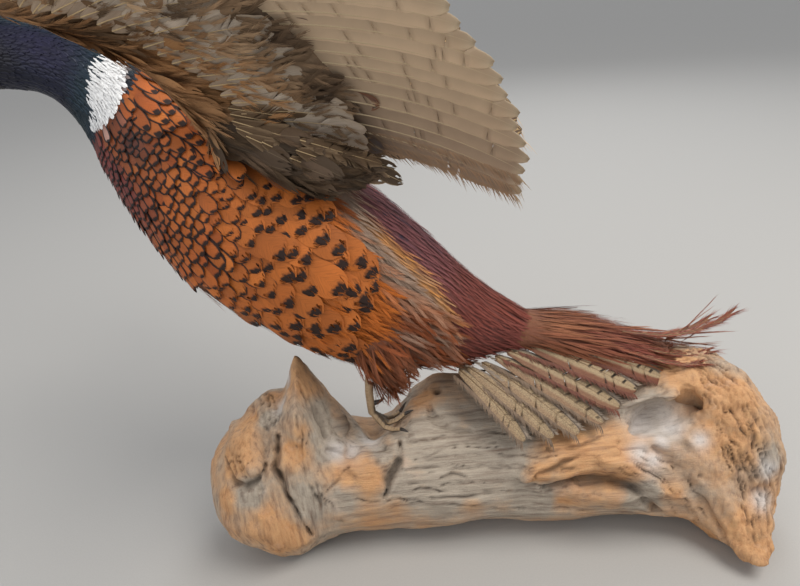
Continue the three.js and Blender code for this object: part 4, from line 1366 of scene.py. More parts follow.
def blade(heap, line, across, up, wide, shape, cell, tint, marks, rng):
    # a closed feather along a line; wide: half widths on the two sides; rows slant as barbs do
    rows, columns = shape["rows"], shape["columns"]
    v = np.linspace(0, 1, rows + 1)
    place = v * (len(line) - 1)
    u = np.linspace(-1, 1, columns + 1)
    profile = np.interp(v, shape["profile"][0], shape["profile"][1])
    cuts = sorted(rng.choice(np.arange(rows // 4, rows - 3), shape["slits"],
                             replace=False)) if shape["slits"] else []
    blocks = list(zip([0, *cuts], [*cuts, rows]))
    chance = rng.random()
    length = np.linalg.norm(line[-1] - line[0])
    ragged = 1 - shape["rag"] * rng.random((rows + 1, 2)) ** 2 * (0.3 + 0.7 * v[:, None])
    for first, last in blocks:
        count = last - first + 1
        grid = np.zeros((2, count, columns + 1, 3))
        web = np.zeros((2, count, columns + 1, 3))
        for row in range(count):
            k = first + row
            half = np.where(u < 0, wide[0] * ragged[k, 0], wide[1] * ragged[k, 1]) * profile[k]
            x = u * half
            gape = shape["slit"] * np.abs(u) ** 1.5
            slip = -gape if row == count - 1 and last != rows else (gape if row == 0 and first else 0 * u)
            forward = shape["slant"] * np.abs(x) * (1 - v[k] ** 3 * 0.7) + slip
            at = place[k] + forward / length * (len(line) - 1)
            middle = rowAt(line, at)
            over = np.maximum(0, at - (len(line) - 1))[:, None] * (line[-1] - line[-2])
            side, top = rowAt(across, at), rowAt(up, at)
            lift = -shape["camber"] * u ** 2 * half + shape["tilt"] * x
            base = middle + over + side * x[:, None] + top * lift[:, None]
            thick = shape["thick"] * (1 - 0.8 * u ** 2)[:, None] / 2
            grid[0, row], grid[1, row] = base + top * thick, base - top * thick
            web[:, row, :, 0], web[:, row, :, 1], web[:, row, :, 2] = u, v[k], chance
        wideCount = columns + 1
        flat = grid.reshape(-1, 3)
        faces = []

        def at(layer, row, column):
            return (layer * count + row) * wideCount + column
        for row in range(count - 1):
            for column in range(columns):
                faces.append((at(0, row, column), at(0, row, column + 1), at(0, row + 1, column + 1),
                              at(0, row + 1, column)))
                faces.append((at(1, row, column), at(1, row + 1, column), at(1, row + 1, column + 1),
                              at(1, row, column + 1)))
            for column, flip in ((0, False), (columns, True)):
                face = (at(0, row, column), at(0, row + 1, column), at(1, row + 1, column),
                        at(1, row, column))
                faces.append(face[::-1] if flip else face)
        for column in range(columns):
            faces.append((at(0, 0, column), at(1, 0, column), at(1, 0, column + 1), at(0, 0, column + 1)))
            faces.append((at(0, count - 1, column), at(0, count - 1, column + 1),
                          at(1, count - 1, column + 1),
                          at(1, count - 1, column)))
        under = np.repeat([0.0, 1.0], count * wideCount)
        flatWeb = web.reshape(-1, 3)
        pile(heap, flat, faces, flatWeb, under, tint, marks, stripCell(*cell, flatWeb, under))
    shaft(heap, line, up, shape["shaft"], cell, chance)


def shaft(heap, line, up, thick, cell, chance, rows=14, around=5):
    tips = np.linspace(0, 1, rows + 1)
    middle = rowAt(line, tips * (len(line) - 1))
    top = rowAt(up, tips * (len(line) - 1))
    way = unit(np.gradient(middle, axis=0))
    side = unit(np.cross(way, top))
    points, web = [], []
    for k, v in enumerate(tips):
        r = thick * (1 - 0.85 * v)
        for j in range(around):
            a = 2 * math.pi * j / around
            points.append(middle[k] + side[k] * r * math.cos(a) + top[k] * r * 1.3 * math.sin(a))
            web.append((0.0, v, chance))
    faces = []
    for k in range(rows):
        for j in range(around):
            a, b = k * around + j, k * around + (j + 1) % around
            faces.append((a, b, b + around, a + around))
    faces.append(tuple(range(around))[::-1])
    faces.append(tuple(rows * around + j for j in range(around)))
    web = np.array(web)
    pile(heap, np.array(points), faces, web, 0.5, linear("cdb48c"), (0, 0, 1),
         stripCell(*cell, web, np.zeros(len(web))))


def fringe(heap, line, across, up, start, reach, count, cell, tint, marks, rng, lean=0.9, wide=0.0005,
           droop=0.25):
    # loose barbs along one side of a feather; start: distance from its line
    length = np.linalg.norm(line[-1] - line[0])
    sign = 1 if start >= 0 else -1
    for k in range(count):
        v = (k + rng.random()) / count
        at = v * (len(line) - 1)
        middle, side, top = rowAt(line, at), rowAt(across, at), rowAt(up, at)
        way = unit(rowAt(line, min(at + 0.3, len(line) - 1)) - rowAt(line, at - 0.3))
        far = reach * rng.uniform(0.5, 1.15)
        root = middle + side * start * (1 - 0.55 * v ** 3)
        aim = unit(side * sign * rng.uniform(0.45, 0.8) + way * lean)
        tip = (root + aim * far - np.array([0, 0, droop * far]) * rng.uniform(0, 1)
               + top * rng.uniform(-0.1, 0.2) * far)
        bend = root + aim * far * 0.5 + top * 0.04 * far
        edge = unit(np.cross(aim, top)) * wide
        points = np.array([root - edge, root + edge, bend + edge * 0.8, bend - edge * 0.8, tip])
        web = np.array([[sign * 0.9, v, rng.random()]] * 5)
        pile(heap, points, [(0, 1, 2, 3), (3, 2, 4)], web, 0.0, tint * rng.uniform(0.75, 1.2), marks,
             stripCell(*cell, web, np.zeros(5)))


# flight feathers

remiges = {
    "secondaries": {"count": 14, "from": 0.0, "to": 0.57, "angle": (-20, 2), "length": (0.181, 0.170),
                    "bulge": 0.008,
                    "inner": 0.0165, "outer": 0.0085},
    "primaries": {"count": 10, "from": 0.585, "to": 1.0, "angle": (5, 82), "length": (0.172, 0.162),
                  "bulge": 0.026,
                  "inner": 0.0150, "outer": 0.0065},
    "blade": {"rows": 40, "columns": 10, "slits": 4, "slit": 0.0016, "slant": 0.75, "camber": 0.08,
              "tilt": -0.075,
              "thick": 0.00035, "shaft": 0.0009, "rag": 0.15,
              "profile": ([0, 0.04, 0.12, 0.45, 0.78, 0.90, 0.96, 1.0],
                          [0.15, 0.45, 0.8, 1.0, 0.95, 0.78, 0.52, 0.16])},
    "bend": (0.12, -0.20), "steps": 12, "inset": 0.010, "frayed": 3,
}


def wingLine(side, root, angle, length, lift, bend, steps):
    # a feather's line in the wing, with its across and up vectors
    reach = np.linspace(0, length, steps + 1)
    way = angle + bend[0] + bend[1] * reach / length
    x, s = root[0] + reach * np.cos(way), root[1] + reach * np.sin(way)
    line = wingPoint(side, x, s, lift)
    small = 0.002
    along = unit(np.gradient(line, axis=0))
    out = wingPoint(side, x - small * np.sin(way), s + small * np.cos(way), lift) - line
    across = unit(out - along * (out * along).sum(1, keepdims=True))
    up = wingPoint(side, x, s, lift + small) - line
    up = unit(up - along * (up * along).sum(1, keepdims=True) - across * (up * across).sum(1, keepdims=True))
    return line, across, up


def flightTint(t, rng):                 # greyer and darker near the body, sandy and paler at the tip of the wing: partly the feathers' own colour, partly painted light and shade
    inner, middle, outer = linear("9c8571"), linear("d0b596"), linear("ecd6b8")
    base = inner + (middle - inner) * min(1, t / 0.30)
    base = base + (outer - base) * smoothStep(0.45, 0.85, t)
    return base * rng.uniform(0.93, 1.07)


def makeRemiges(side, group):
    sizes = remiges[group]
    rng = np.random.default_rng({"left": 300, "right": 340}[side] + len(group))
    heap = newHeap()
    for k in range(sizes["count"]):
        part = (k + 0.5) / sizes["count"]
        t = sizes["from"] + (sizes["to"] - sizes["from"]) * part
        root = rowAt(wing["roots"], t * (len(wing["roots"]) - 1))
        angle = math.radians(sizes["angle"][0] + (sizes["angle"][1] - sizes["angle"][0]) * part)
        length = sizes["length"][0] + (sizes["length"][1] - sizes["length"][0]) * part
        length += sizes["bulge"] * math.sin(math.pi * part)
        root = root - remiges["inset"] * np.array([math.cos(angle), math.sin(angle)])
        length = (length + remiges["inset"]) * rng.uniform(0.965, 1.0)
        line, across, up = wingLine(side, root, angle, length, 0.0, remiges["bend"], remiges["steps"])
        shape = dict(remiges["blade"])
        if group == "primaries":
            shape["profile"] = ([0, 0.04, 0.12, 0.40, 0.62, 0.80, 0.93, 1.0],
                                [0.15, 0.45, 0.8, 1.0, 0.86, 0.66, 0.42, 0.12])
        cell = (k, sizes["count"])
        tint = flightTint(t, rng)
        blade(heap, line, across, up, (sizes["inner"], sizes["outer"]), shape, cell, tint, (0, 0, t), rng)
        if group == "secondaries" and k < remiges["frayed"]:
            fringe(heap, line, across, up, -0.8 * sizes["inner"], 0.018, 150, cell, linear("8a5a38"),
                   (0, 0, t), rng, 1.3)
    made = pieceOf(f"{group}_plumes_{side}", heap, finishes["quill"])
    finished(made, "quills", f"{group}_{side}")
    print(made.name, len(made.data.polygons), "faces")


def quillFinish():
    def paint(sheet):
        u, v, chance = sheet.parts(sheet.attribute("vane", "Vector"))
        edge, spot, place = sheet.parts(sheet.attribute("marks", "Vector"))
        under = sheet.attribute("under", "Fac")
        side = abs(u)
        lines = ((v * 95 - side * 14 + chance * 7) * 6.283).sin() * 0.5 + 0.5
        cloud = sheet.noise(sheet.placed(), 70, 3)
        # darker towards the root: painted shade; the cloud term is random tone
        shade = 0.80 + v.between(0.0, 0.9) * 0.26 + (cloud - 0.5) * 0.22
        shade = shade * (1 - lines * 0.07)
        tint = sheet.scaled(sheet.attribute("tint"), shade)
        rim = side.between(0.80, 1.0).most(v.between(0.93, 1.0))
        colour = sheet.mix(rim * 0.65, tint, opaque("dcc9aa"))
        # painted shadow of the coverts across the bases of the inner flight feathers
        covertShadow = (1 - v.between(0.30, 0.44)) * (1 - place.between(0.10, 0.45))
        colour = sheet.mix(covertShadow * 0.6, colour, opaque("3d2f26"))
        trailing = (0 - u).between(0.05, 0.75)
        colour = sheet.mix((1 - trailing) * 0.22, colour, opaque("5d4d41"))
        # the wing's upper face is brown with buff bars
        bars = ((v * 15 + side * 1.6 + cloud * 1.2) * 6.283).sin().between(0.1, 0.6)
        upper = sheet.mix(bars * 0.8, opaque("5b4534"), opaque("b4976c"))
        colour = sheet.mix(under.between(0.55, 0.9), colour, upper)
        midrib = (0.05 - side).most(0) * 14
        colour = sheet.mix(midrib.clamped() * 0.5, colour, opaque("d9c6a4"))
        return {"Base Color": colour, "Normal": sheet.bump(lines, 0.0001, 0.6)}
    return finishOf("flightWeb", paint, Roughness=0.6, Specular_IOR_Level=0.3)


def softQuillFinish():
    def paint(sheet):
        u, v, chance = sheet.parts(sheet.attribute("vane", "Vector"))
        side = abs(u)
        barb = sheet.node("ShaderNodeCombineXYZ", {}, {0: (v - side * 0.3) * 60, 1: u * 1.5, 2: chance * 30})
        lines = sheet.noise(barb, 1.0, 3)
        tint = sheet.scaled(sheet.attribute("tint"), 0.55 + lines * 0.9)
        colour = sheet.mix((side - 0.55).most(0) * (lines * 2.2), tint, opaque("9b8468"))
        colour = sheet.mix(((0.045 - side) * 30).clamped() * 0.6, colour, opaque("b0966f"))
        return {"Base Color": colour, "Normal": sheet.bump(lines, 0.0002, 0.6)}
    return finishOf("softFlightWeb", paint, Roughness=0.75, Specular_IOR_Level=0.2)


finishes["quill"] = quillFinish()
finishes["softQuill"] = softQuillFinish()
for wingSide in signOf:
    for group in ("secondaries", "primaries"):
        makeRemiges(wingSide, group)

# rows of wing coverts

coverts = {
    "rows": [
        # how far before the flight feathers' roots, length, half width, lift off the plane, how many, colour
        {"back": 0.010, "length": 0.062, "half": 0.0085, "lift": 0.0150, "count": 26, "tint": "b8a896"},
        {"back": 0.024, "length": 0.052, "half": 0.0080, "lift": 0.0170, "count": 28, "tint": "a8937e"},
        {"back": 0.012, "length": 0.066, "half": 0.0090, "lift": -0.0030, "count": 26, "tint": "8a7f74"},
        {"back": 0.028, "length": 0.050, "half": 0.0085, "lift": -0.0052, "count": 28, "tint": "8b8580"},
    ],
    "blade": {"rows": 14, "columns": 8, "slits": 2, "slit": 0.0014, "slant": 0.8, "camber": 0.10,
              "tilt": -0.09,
              "thick": 0.00025, "shaft": 0.0005, "rag": 0.22,
              "profile": ([0, 0.1, 0.35, 0.7, 0.88, 1.0], [0.2, 0.6, 0.95, 1.0, 0.75, 0.2])},
}


def makeCoverts(side):
    rng = np.random.default_rng({"left": 400, "right": 440}[side])
    heaps = {1: newHeap(), -1: newHeap()}
    total = sum(row["count"] for row in coverts["rows"])
    index = 0
    for row in coverts["rows"]:
        heap = heaps[1 if row["lift"] > 0 else -1]
        for k in range(row["count"]):
            t = (k + 0.5) / row["count"]
            root = rowAt(wing["roots"], t * (len(wing["roots"]) - 1))
            angle = math.radians(np.interp(t, [0, 0.57, 1.0], [-22, 6, 80]) + rng.normal(0, 3))
            root = root - row["back"] * np.array([math.cos(angle), math.sin(angle)])
            lift = row["lift"] * (1 - 0.55 * t)
            length = row["length"] * rng.uniform(0.85, 1.1) * (1 - 0.25 * t)
            line, across, up = wingLine(side, root, angle, length, lift, (0.1, -0.2), 8)
            settle = np.linspace(0, 1, 9)[:, None] ** 1.3 * 0.62 * lift
            line = line - up * settle
            shape = dict(coverts["blade"])
            if lift < 0:
                shape["tilt"] = -shape["tilt"]
            tint = linear(row["tint"]) * rng.uniform(0.75, 1.15)
            blade(heap, line, across, up, (row["half"] * 1.2, row["half"]), shape, (index, total), tint,
                  (0, 0, t), rng)
            index += 1
    for name, heap, look in (("under", heaps[1], "softQuill"), ("upper", heaps[-1], "quill")):
        made = pieceOf(f"{name}_wing_coverts_{side}", heap, finishes[look])
        finished(made, "plumage_wing")
        print(made.name, len(made.data.polygons), "faces")


for wingSide in signOf:
    makeCoverts(wingSide)

# long soft feathers under the wing

axillars = {
    # picture points of root and tip, half width in mm
    "lines": [((228, 108), (316, 121), 8), ((230, 114), (322, 132), 8), ((232, 121), (330, 150), 9),
              ((236, 128), (334, 166), 9), ((246, 136), (340, 178), 9), ((262, 142), (352, 186), 9),
              ((300, 130), (376, 150), 9), ((300, 140), (382, 164), 9), ((296, 150), (378, 178), 9),
              ((290, 158), (366, 188), 8)],
    "raise": 0.0060, "tip": 0.0035, "steps": 8,
    "blade": {"rows": 24, "columns": 10, "slits": 4, "slit": 0.0012, "slant": 0.9, "camber": 0.10,
              "tilt": 0.05,
              "thick": 0.00025, "shaft": 0.00040, "rag": 0.45,
              "profile": ([0, 0.1, 0.4, 0.75, 0.9, 1.0], [0.25, 0.6, 1.0, 0.85, 0.55, 0.12])},
}


def makeAxillars(sign, side):
    tree = BVHTree.FromPolygons(surface["points"].tolist(), surface["triangles"].tolist())
    rng = np.random.default_rng(460 + sign)
    heap = newHeap()
    count = len(axillars["lines"])
    for index, (root, tip, half) in enumerate(axillars["lines"]):
        line, up = [], []
        for part in np.linspace(0, 1, axillars["steps"]):
            px, py = np.array(root) + (np.array(tip) - root) * part
            hit, out = tree.ray_cast(Vector(view["place"]), pictureRay(px, py))[:2]
            if hit is None:
                break
            high = axillars["raise"] + (axillars["tip"] - axillars["raise"]) * part
            line.append(np.array(hit) - np.array(pictureRay(px, py)) * high)
            up.append(np.array(out))
        if len(line) < axillars["steps"] - 1:
            continue
        line = np.array(line)
        soft = np.linspace(0, 1, len(line))[:, None]
        chord = line[0] + (line[-1] - line[0]) * soft
        line = chord * 0.6 + line * 0.4
        if sign > 0:
            line[:, 1] = 2 * bird["midY"] - line[:, 1]
        along = unit(np.gradient(line, axis=0))
        facing = unit(np.mean(up, axis=0) * (1, -sign, 1))
        lifted = unit(facing - along * (along @ facing)[:, None])
        across = unit(np.cross(lifted, along))
        tint = dye["dusk"] * rng.uniform(0.85, 1.5)
        blade(heap, line, across, lifted, (half / 1000, half / 1000), axillars["blade"], (index, count), tint,
              (0, 0, 0.1), rng)
    made = pieceOf(f"axillar_plumes_{side}", heap, finishes["softQuill"])
    finished(made, "plumage_wing")
    print(made.name, len(made.data.polygons), "faces")


for wingSide, wingSign in signOf.items():
    makeAxillars(wingSign, wingSide)

# tail

tail = {
    # left half: root, tip, half widths above and below, how barred, how finely flecked, how rusty
    "rows": [
        [(0.074, 0.004, 0.174), (0.176, -0.022, 0.139), 0.010, 0.013, 1.0, 0.1, 1.0],
        [(0.060, 0.000, 0.171), (0.150, -0.031, 0.136), 0.011, 0.013, 1.0, 0.2, 0.9],
        [(0.046, -0.003, 0.166), (0.134, -0.039, 0.126), 0.011, 0.012, 0.9, 0.4, 0.7],
        [(0.036, -0.005, 0.162), (0.118, -0.046, 0.117), 0.010, 0.011, 0.7, 0.7, 0.4],
        [(0.024, -0.007, 0.158), (0.096, -0.053, 0.114), 0.010, 0.011, 0.4, 0.9, 0.2],
        [(0.012, -0.009, 0.156), (0.074, -0.056, 0.115), 0.009, 0.010, 0.2, 1.0, 0.1],
        [(0.004, -0.010, 0.155), (0.050, -0.058, 0.116), 0.009, 0.009, 0.0, 1.0, 0.1],
    ],
    "bow": 0.006, "face": (0.30, 0.75, 0.60),
    "blade": {"rows": 36, "columns": 12, "slits": 3, "slit": 0.0012, "slant": 0.8, "camber": 0.12,
              "tilt": 0.10,
              "thick": 0.0004, "shaft": 0.0007, "rag": 0.18,
              "profile": ([0, 0.1, 0.4, 0.8, 0.93, 1.0], [0.35, 0.6, 0.95, 0.85, 0.55, 0.15])},
    "curls": [[(0.150, 0.008, 0.166), (0.195, 0.008, 0.158), (0.226, 0.010, 0.162), (0.246, 0.012, 0.171)],
              [(0.140, 0.020, 0.164), (0.184, 0.022, 0.152), (0.214, 0.024, 0.153), (0.233, 0.025, 0.160)],
              [(0.150, 0.000, 0.160), (0.186, -0.002, 0.146), (0.208, -0.001, 0.142), (0.224, 0.001, 0.142)],
              [(0.130, -0.012, 0.166), (0.166, -0.016, 0.152), (0.190, -0.018, 0.145),
               (0.205, -0.019, 0.144)]],
}


def tailLine(root, tip, sign, steps=12):
    root, tip = np.array(root), np.array(tip)
    if sign > 0:
        root, tip = (np.array([p[0], 2 * bird["midY"] - p[1], p[2]]) for p in (root, tip))
    face = unit(np.array([tail["face"][0], sign * tail["face"][1], tail["face"][2]]))
    v = np.linspace(0, 1, steps + 1)[:, None]
    line = root + (tip - root) * v + face * tail["bow"] * np.sin(np.pi * v ** 0.9)
    line[:, 2] -= 0.004 * (v[:, 0] ** 2)
    way = unit(np.gradient(line, axis=0))
    up = unit(face - way * (way @ face)[:, None])
    return line, unit(np.cross(way, up)) * sign * -1, up


def makeTail(sign, side):
    rng = np.random.default_rng(500 + sign)
    heap = newHeap()
    count = len(tail["rows"])
    for index, (root, tip, above, below, barred, flecked, rusty) in enumerate(tail["rows"]):
        line, across, up = tailLine(root, tip, sign)
        if across[0, 2] > 0:
            across = -across
        marks = (barred, flecked, rusty)
        cell = (index, count)
        blade(heap, line, across, up, (above, below), tail["blade"], cell, linear("a8906f"), marks, rng)
        rust = linear("6b3f30") if rusty > 0.5 else linear("74604e")
        fringe(heap, line, across, up, below * 0.75, 0.009, 110, cell, rust, (0, 0, 2), rng)
        fringe(heap, line, across, up, -above * 0.75, 0.007, 90, cell, linear("8b7c6d"), (0, 0, 2), rng)
    made = pieceOf(f"tail_plumes_{side}", heap, finishes["tail"])
    finished(made, "plumage_tail", f"tail_feathers_{side}")
    print(made.name, len(made.data.polygons), "faces")


def tailFinish():
    def paint(sheet):
        u, v, chance = sheet.parts(sheet.attribute("vane", "Vector"))
        barred, flecked, rusty = sheet.parts(sheet.attribute("marks", "Vector"))
        loose = rusty.between(1.5, 1.6)
        side = abs(u)
        fleck = sheet.noise(sheet.placed((900, 900, 900)), 1.0, 2)
        wave = sheet.noise(sheet.placed((800, 800, 1900)), 1.0, 2)
        lines = ((v * 80 - side * 16) * 6.283).sin() * 0.5 + 0.5
        buff = sheet.mix((fleck * 1.4 - 0.2).clamped(), opaque("8f7a60"), opaque("c4aa85"))
        vermi = (wave - 0.46).most(0) * 9
        buff = sheet.mix(vermi.clamped() * flecked * 0.45, buff, opaque("4a3b30"))
        across = (v * 9.5 + u * 0.10 + chance).fraction()
        bar = (0.13 - abs(across - 0.5)) * 22 + (fleck - 0.5) * 3
        bar = bar.clamped() * barred * ((0.36 - abs(u + 0.22)) * 9).clamped()
        buff = sheet.mix(bar * 0.95, buff, opaque("1f1814"))
        rust = sheet.mix((fleck * 1.3 - 0.15).clamped(), opaque("64382c"), opaque("8c5a42"))
        smoke = sheet.mix(lines * 0.6, opaque("8d8075"), opaque("5f554d"))
        low = u.between(0.28, 0.55) * (rusty.least(1) * 0.9 + 0.1)
        high = (0 - u).between(0.45, 0.75)
        colour = sheet.mix(low, buff, rust)
        colour = sheet.mix(high * 0.8, colour, smoke)
        colour = sheet.scaled(colour, 1 - lines * 0.12)
        colour = sheet.mix((0.035 - side).most(0) * 24, colour, opaque("6a5138"))
        colour = sheet.mix(loose, colour, sheet.attribute("tint"))
        return {"Base Color": colour, "Normal": sheet.bump(lines, 0.00012, 0.6)}
    return finishOf("tailWeb", paint, Roughness=0.62, Specular_IOR_Level=0.3)


finishes["tail"] = tailFinish()
makeTail(-1, "left")
makeTail(1, "right")


def makeCurls():                        # long loose feathers that curl off the end of the tail
    rng = np.random.default_rng(520)
    heap = newHeap()
    total = len(tail["curls"])
    for index, route in enumerate(tail["curls"]):
        line = rowAt(np.array(route), np.linspace(0, len(route) - 1, 17))
        way = unit(np.gradient(line, axis=0))
        up = unit(np.array([0, 0, 1.0]) - way * way[:, 2:3])
        across = unit(np.cross(way, up))
        cell = (index, total)
        shaft(heap, line, up, 0.0006, cell, 0.5, 20)
        for start in (0.0003, -0.0003):
            for tone, reach in (("8c4a34", 0.018), ("5e2f28", 0.014), ("9b7a58", 0.010)):
                fringe(heap, line, across, up, start, reach, 80, cell, linear(tone), (0, 0, 2), rng, 1.9,
                       0.00035, 0.1)
    made = pieceOf("tail_curls", heap, finishes["tail"])
    finished(made, "plumage_tail")


makeCurls()
print("tail laid")

# head

face = {
    "eye": (-0.329, 0.449), "eyeOut": 0.0142, "eyeRadius": 0.0052, "pupil": 0.40, "iris": 0.86,
    "lidReach": 0.0047, "lidThick": 0.00085, "lidSquash": 0.88,
    "nostril": (-0.3570, 0.4470, 0.0062), "nostrilSize": (0.0022, 0.0009), "nostrilDepth": 0.0014,
    "bead": 0.0014, "beadHeight": 0.00055, "tuftRoot": (-0.302, 0.012, 0.461), "tuftLength": 0.017,
        "tuftCount": 16,
}


def fineNode(name, node, voxel, rounds):   # a smooth close-meshed copy of one frame node
    made = remeshed(shellOf(name, [node]), voxel)
    keepLargest(made.data)
    relaxed(made.data, rounds)
    return made


def ringGrid(rings, closed=True):       # faces of a stack of rings
    count, around = len(rings), len(rings[0])
    faces = []
    for i in range(count if closed else count - 1):
        for j in range(around):
            a, b = i * around + j, i * around + (j + 1) % around
            c, d = (a + around) % (count * around), (b + around) % (count * around)
            faces.append((a, b, d, c))
    return faces


def makeEye(sign, side):
    rows, around = 28, 40
    points, away = [], []
    for i in range(1, rows):
        angle = math.pi * i / rows
        r = face["eyeRadius"] * (1 + 0.06 * math.exp(-(angle / 0.6) ** 2))
        for j in range(around):
            turn = 2 * math.pi * j / around
            points.append((face["eye"][0] + r * math.sin(angle) * math.cos(turn),
                           bird["midY"] + sign * (face["eyeOut"] + r * math.cos(angle)),
                           face["eye"][1] + r * math.sin(angle) * math.sin(turn) * sign))
            away.append(angle)
    faces = [(i * around + j, i * around + (j + 1) % around, (i + 1) * around + (j + 1) % around,
              (i + 1) * around + j)
             for i in range(rows - 2) for j in range(around)]
    faces.append(tuple(range(around))[::-1])
    faces.append(tuple((rows - 2) * around + j for j in range(around)))
    made = newObject(f"glass_eye_{side}", newMesh(f"glass_eye_{side}", points, faces))
    setAttribute(made.data, "away", "FLOAT", away)
    wear(made, finishes["glass"])
    finished(made, "eyes", f"eye_{side}")
    lid = []
    for i in range(48):
        turn = 2 * math.pi * i / 48
        squash = face["lidSquash"] * (1 - 0.10 * (math.sin(turn) > 0))
        reach = face["lidReach"] * (1 + 0.10 * abs(math.cos(turn)) ** 6)
        thick = face["lidThick"] * (1 + 0.15 * math.sin(9 * turn))
        ring = []
        for j in range(10):
            a = 2 * math.pi * j / 10
            r = reach + thick * math.cos(a)
            out = math.sqrt(max(0, face["eyeRadius"] ** 2 - reach ** 2 * 0.8)) + thick * math.sin(a)
            ring.append((face["eye"][0] + r * math.cos(turn), bird["midY"] + sign * (face["eyeOut"] + out),
                         face["eye"][1] + r * squash * math.sin(turn)))
        lid.append(ring if sign < 0 else ring[::-1])
    points = [p for ring in lid for p in ring]
    made = newObject(f"eyelids_{side}", newMesh(f"eyelids_{side}", points, ringGrid(lid)))
    setAttribute(made.data, "bead", "FLOAT", np.full(len(points), 0.35))
    wear(made, finishes["bareSkin"])
    finished(made, "wattle")


def makeWattle(sign, side):
    made = fineNode(f"bare_face_{side}", f"wattle_{side}", 0.00062, 3)
    mesh = made.data
    points, normals = pointsOf(mesh), normalsOf(mesh)
    outward = normals[:, 1] * sign > 0.1
    rng = np.random.default_rng(610)
    order = rng.permutation(np.flatnonzero(outward))
    tree = KDTree(len(order))
    for k, index in enumerate(order):
        tree.insert(points[index], k)
    tree.balance()
    taken, seeds = np.zeros(len(order), bool), []
    for k, index in enumerate(order):
        if taken[k]:
            continue
        seeds.append(index)
        for place, other, far in tree.find_range(points[index], face["bead"]):
            taken[other] = True
    beads = KDTree(len(seeds))
    for k, index in enumerate(seeds):
        beads.insert(points[index], k)
    beads.balance()
    far = np.array([beads.find(p)[2] for p in points]) / face["bead"]
    bead = np.clip(1 - (far * 1.45) ** 2, 0, 1) * outward
    movePoints(mesh, points + normals * (face["beadHeight"] * bead)[:, None])
    setAttribute(mesh, "bead", "FLOAT", bead)
    wear(made, finishes["bareSkin"])
    finished(made, "wattle", f"wattle_{side}")


def makeBill():
    for name, node in (("upper_bill", "bill_upper"), ("lower_bill", "bill_lower")):
        made = fineNode(name, node, 0.00050, 6)
        mesh = made.data
        points, normals = pointsOf(mesh), normalsOf(mesh)
        push = 0.00010 * noiseAt(points, 0.003, 41)
        dark = np.zeros(len(points))
        if node == "bill_upper":
            x, z, out = face["nostril"]
            wide, tall = face["nostrilSize"]
            far = np.hypot((points[:, 0] - x) / wide, (points[:, 2] - z - 0.10 * (points[:, 0] - x)) / tall)
            hole = np.exp(-far ** 3) * (np.abs(points[:, 1] - bird["midY"]) > 0.002)
            above = np.hypot((points[:, 0] - x - 0.001) / (wide * 1.5),
                             (points[:, 2] - z - tall * 2.0) / (tall * 1.7))
            push += 0.0007 * np.exp(-above ** 2) - face["nostrilDepth"] * hole
            # the nostril opening is painted near black: painted shade for the depth of the hole
            dark = hole
        movePoints(mesh, points + normals * push[:, None])
        setAttribute(mesh, "dark", "FLOAT", dark)
        wear(made, finishes["horn"])
        finished(made, "bill", node)


def makeEarTuft(sign, side):
    rng = np.random.default_rng(620 + sign)
    heap = newHeap()
    x, out, z = face["tuftRoot"]
    shape = dict(coverts["blade"], rows=8, columns=4, slits=0, thick=0.00015, shaft=0.0002)
    for k in range(face["tuftCount"]):
        root = np.array([x - 0.002, bird["midY"] + sign * out,
                         z - 0.003]) + rng.uniform(-1, 1, 3) * (0.003, 0.0025, 0.002)
        way = unit(np.array([0.78, 0.10 * sign, 0.62]) + rng.normal(0, 0.09, 3))
        v = np.linspace(0, 1, 7)[:, None]
        length = face["tuftLength"] * rng.uniform(0.7, 1.15)
        line = root + way * length * v + np.array([0, 0, 0.0025]) * np.sin(np.pi * v)
        along = unit(np.gradient(line, axis=0))
        up = unit(np.array([0, sign * 1.0, 0.2]) - along * (along @ np.array([0, sign * 1.0, 0.2]))[:, None])
        across = unit(np.cross(up, along))
        blade(heap, line, across, up, (0.0022, 0.0022), shape, (k, face["tuftCount"]), dye["green"] * 0.8,
              (0, 0, 0.5), rng)
    made = pieceOf(f"ear_feathers_{side}", heap, finishes["tuft"])
    finished(made, "plumage_neck", f"ear_tuft_{side}")


def glassFinish():
    def paint(sheet):
        away = sheet.attribute("away", "Fac")
        rays = sheet.noise(sheet.placed((1500, 400, 1500)), 1.0, 3)
        iris = sheet.mix(rays, opaque("7a3f12"), opaque("c98a34"))
        iris = sheet.mix(away.between(face["pupil"] + 0.25, face["iris"]), iris, opaque("4a2408"))
        colour = sheet.mix(away.between(face["pupil"] - 0.02, face["pupil"] + 0.02), opaque("050404"), iris)
        colour = sheet.mix(away.between(face["iris"], face["iris"] + 0.08), colour, opaque("0c0806"))
        return {"Base Color": colour}
    return finishOf("eyeGlass", paint, Roughness=0.04, Coat_Weight=1.0, Coat_Roughness=0.02)


def bareSkinFinish():
    def paint(sheet):
        bead = sheet.attribute("bead", "Fac")
        cloud = sheet.noise(sheet.placed(), 260, 3)
        low = sheet.mix(cloud, opaque("4c0c10"), opaque("74151a"))
        high = sheet.mix(cloud, opaque("a81e22"), opaque("c2322e"))
        return {"Base Color": sheet.mix(bead.between(0.0, 0.8), low, high), "Roughness": 0.62 - bead * 0.15}
    return finishOf("bareRedSkin", paint, Specular_IOR_Level=0.45)


def hornFinish():
    def paint(sheet):
        dark = sheet.attribute("dark", "Fac")
        streak = sheet.noise(sheet.placed((120, 700, 700)), 1.0, 3)
        cloud = sheet.noise(sheet.placed(), 130, 3)
        colour = sheet.mix(streak, opaque("a0946f"), opaque("c9bd97"))
        colour = sheet.mix(cloud.between(0.50, 0.75) * 0.6, colour, opaque("847752"))
        # dark: painted shade in the nostril opening
        colour = sheet.mix(dark * 0.95, colour, opaque("221c14"))
        return {"Base Color": colour, "Roughness": 0.34 + cloud * 0.2,
                "Normal": sheet.bump(streak, 0.0003, 0.5)}
    return finishOf("billHorn", paint, Specular_IOR_Level=0.5)


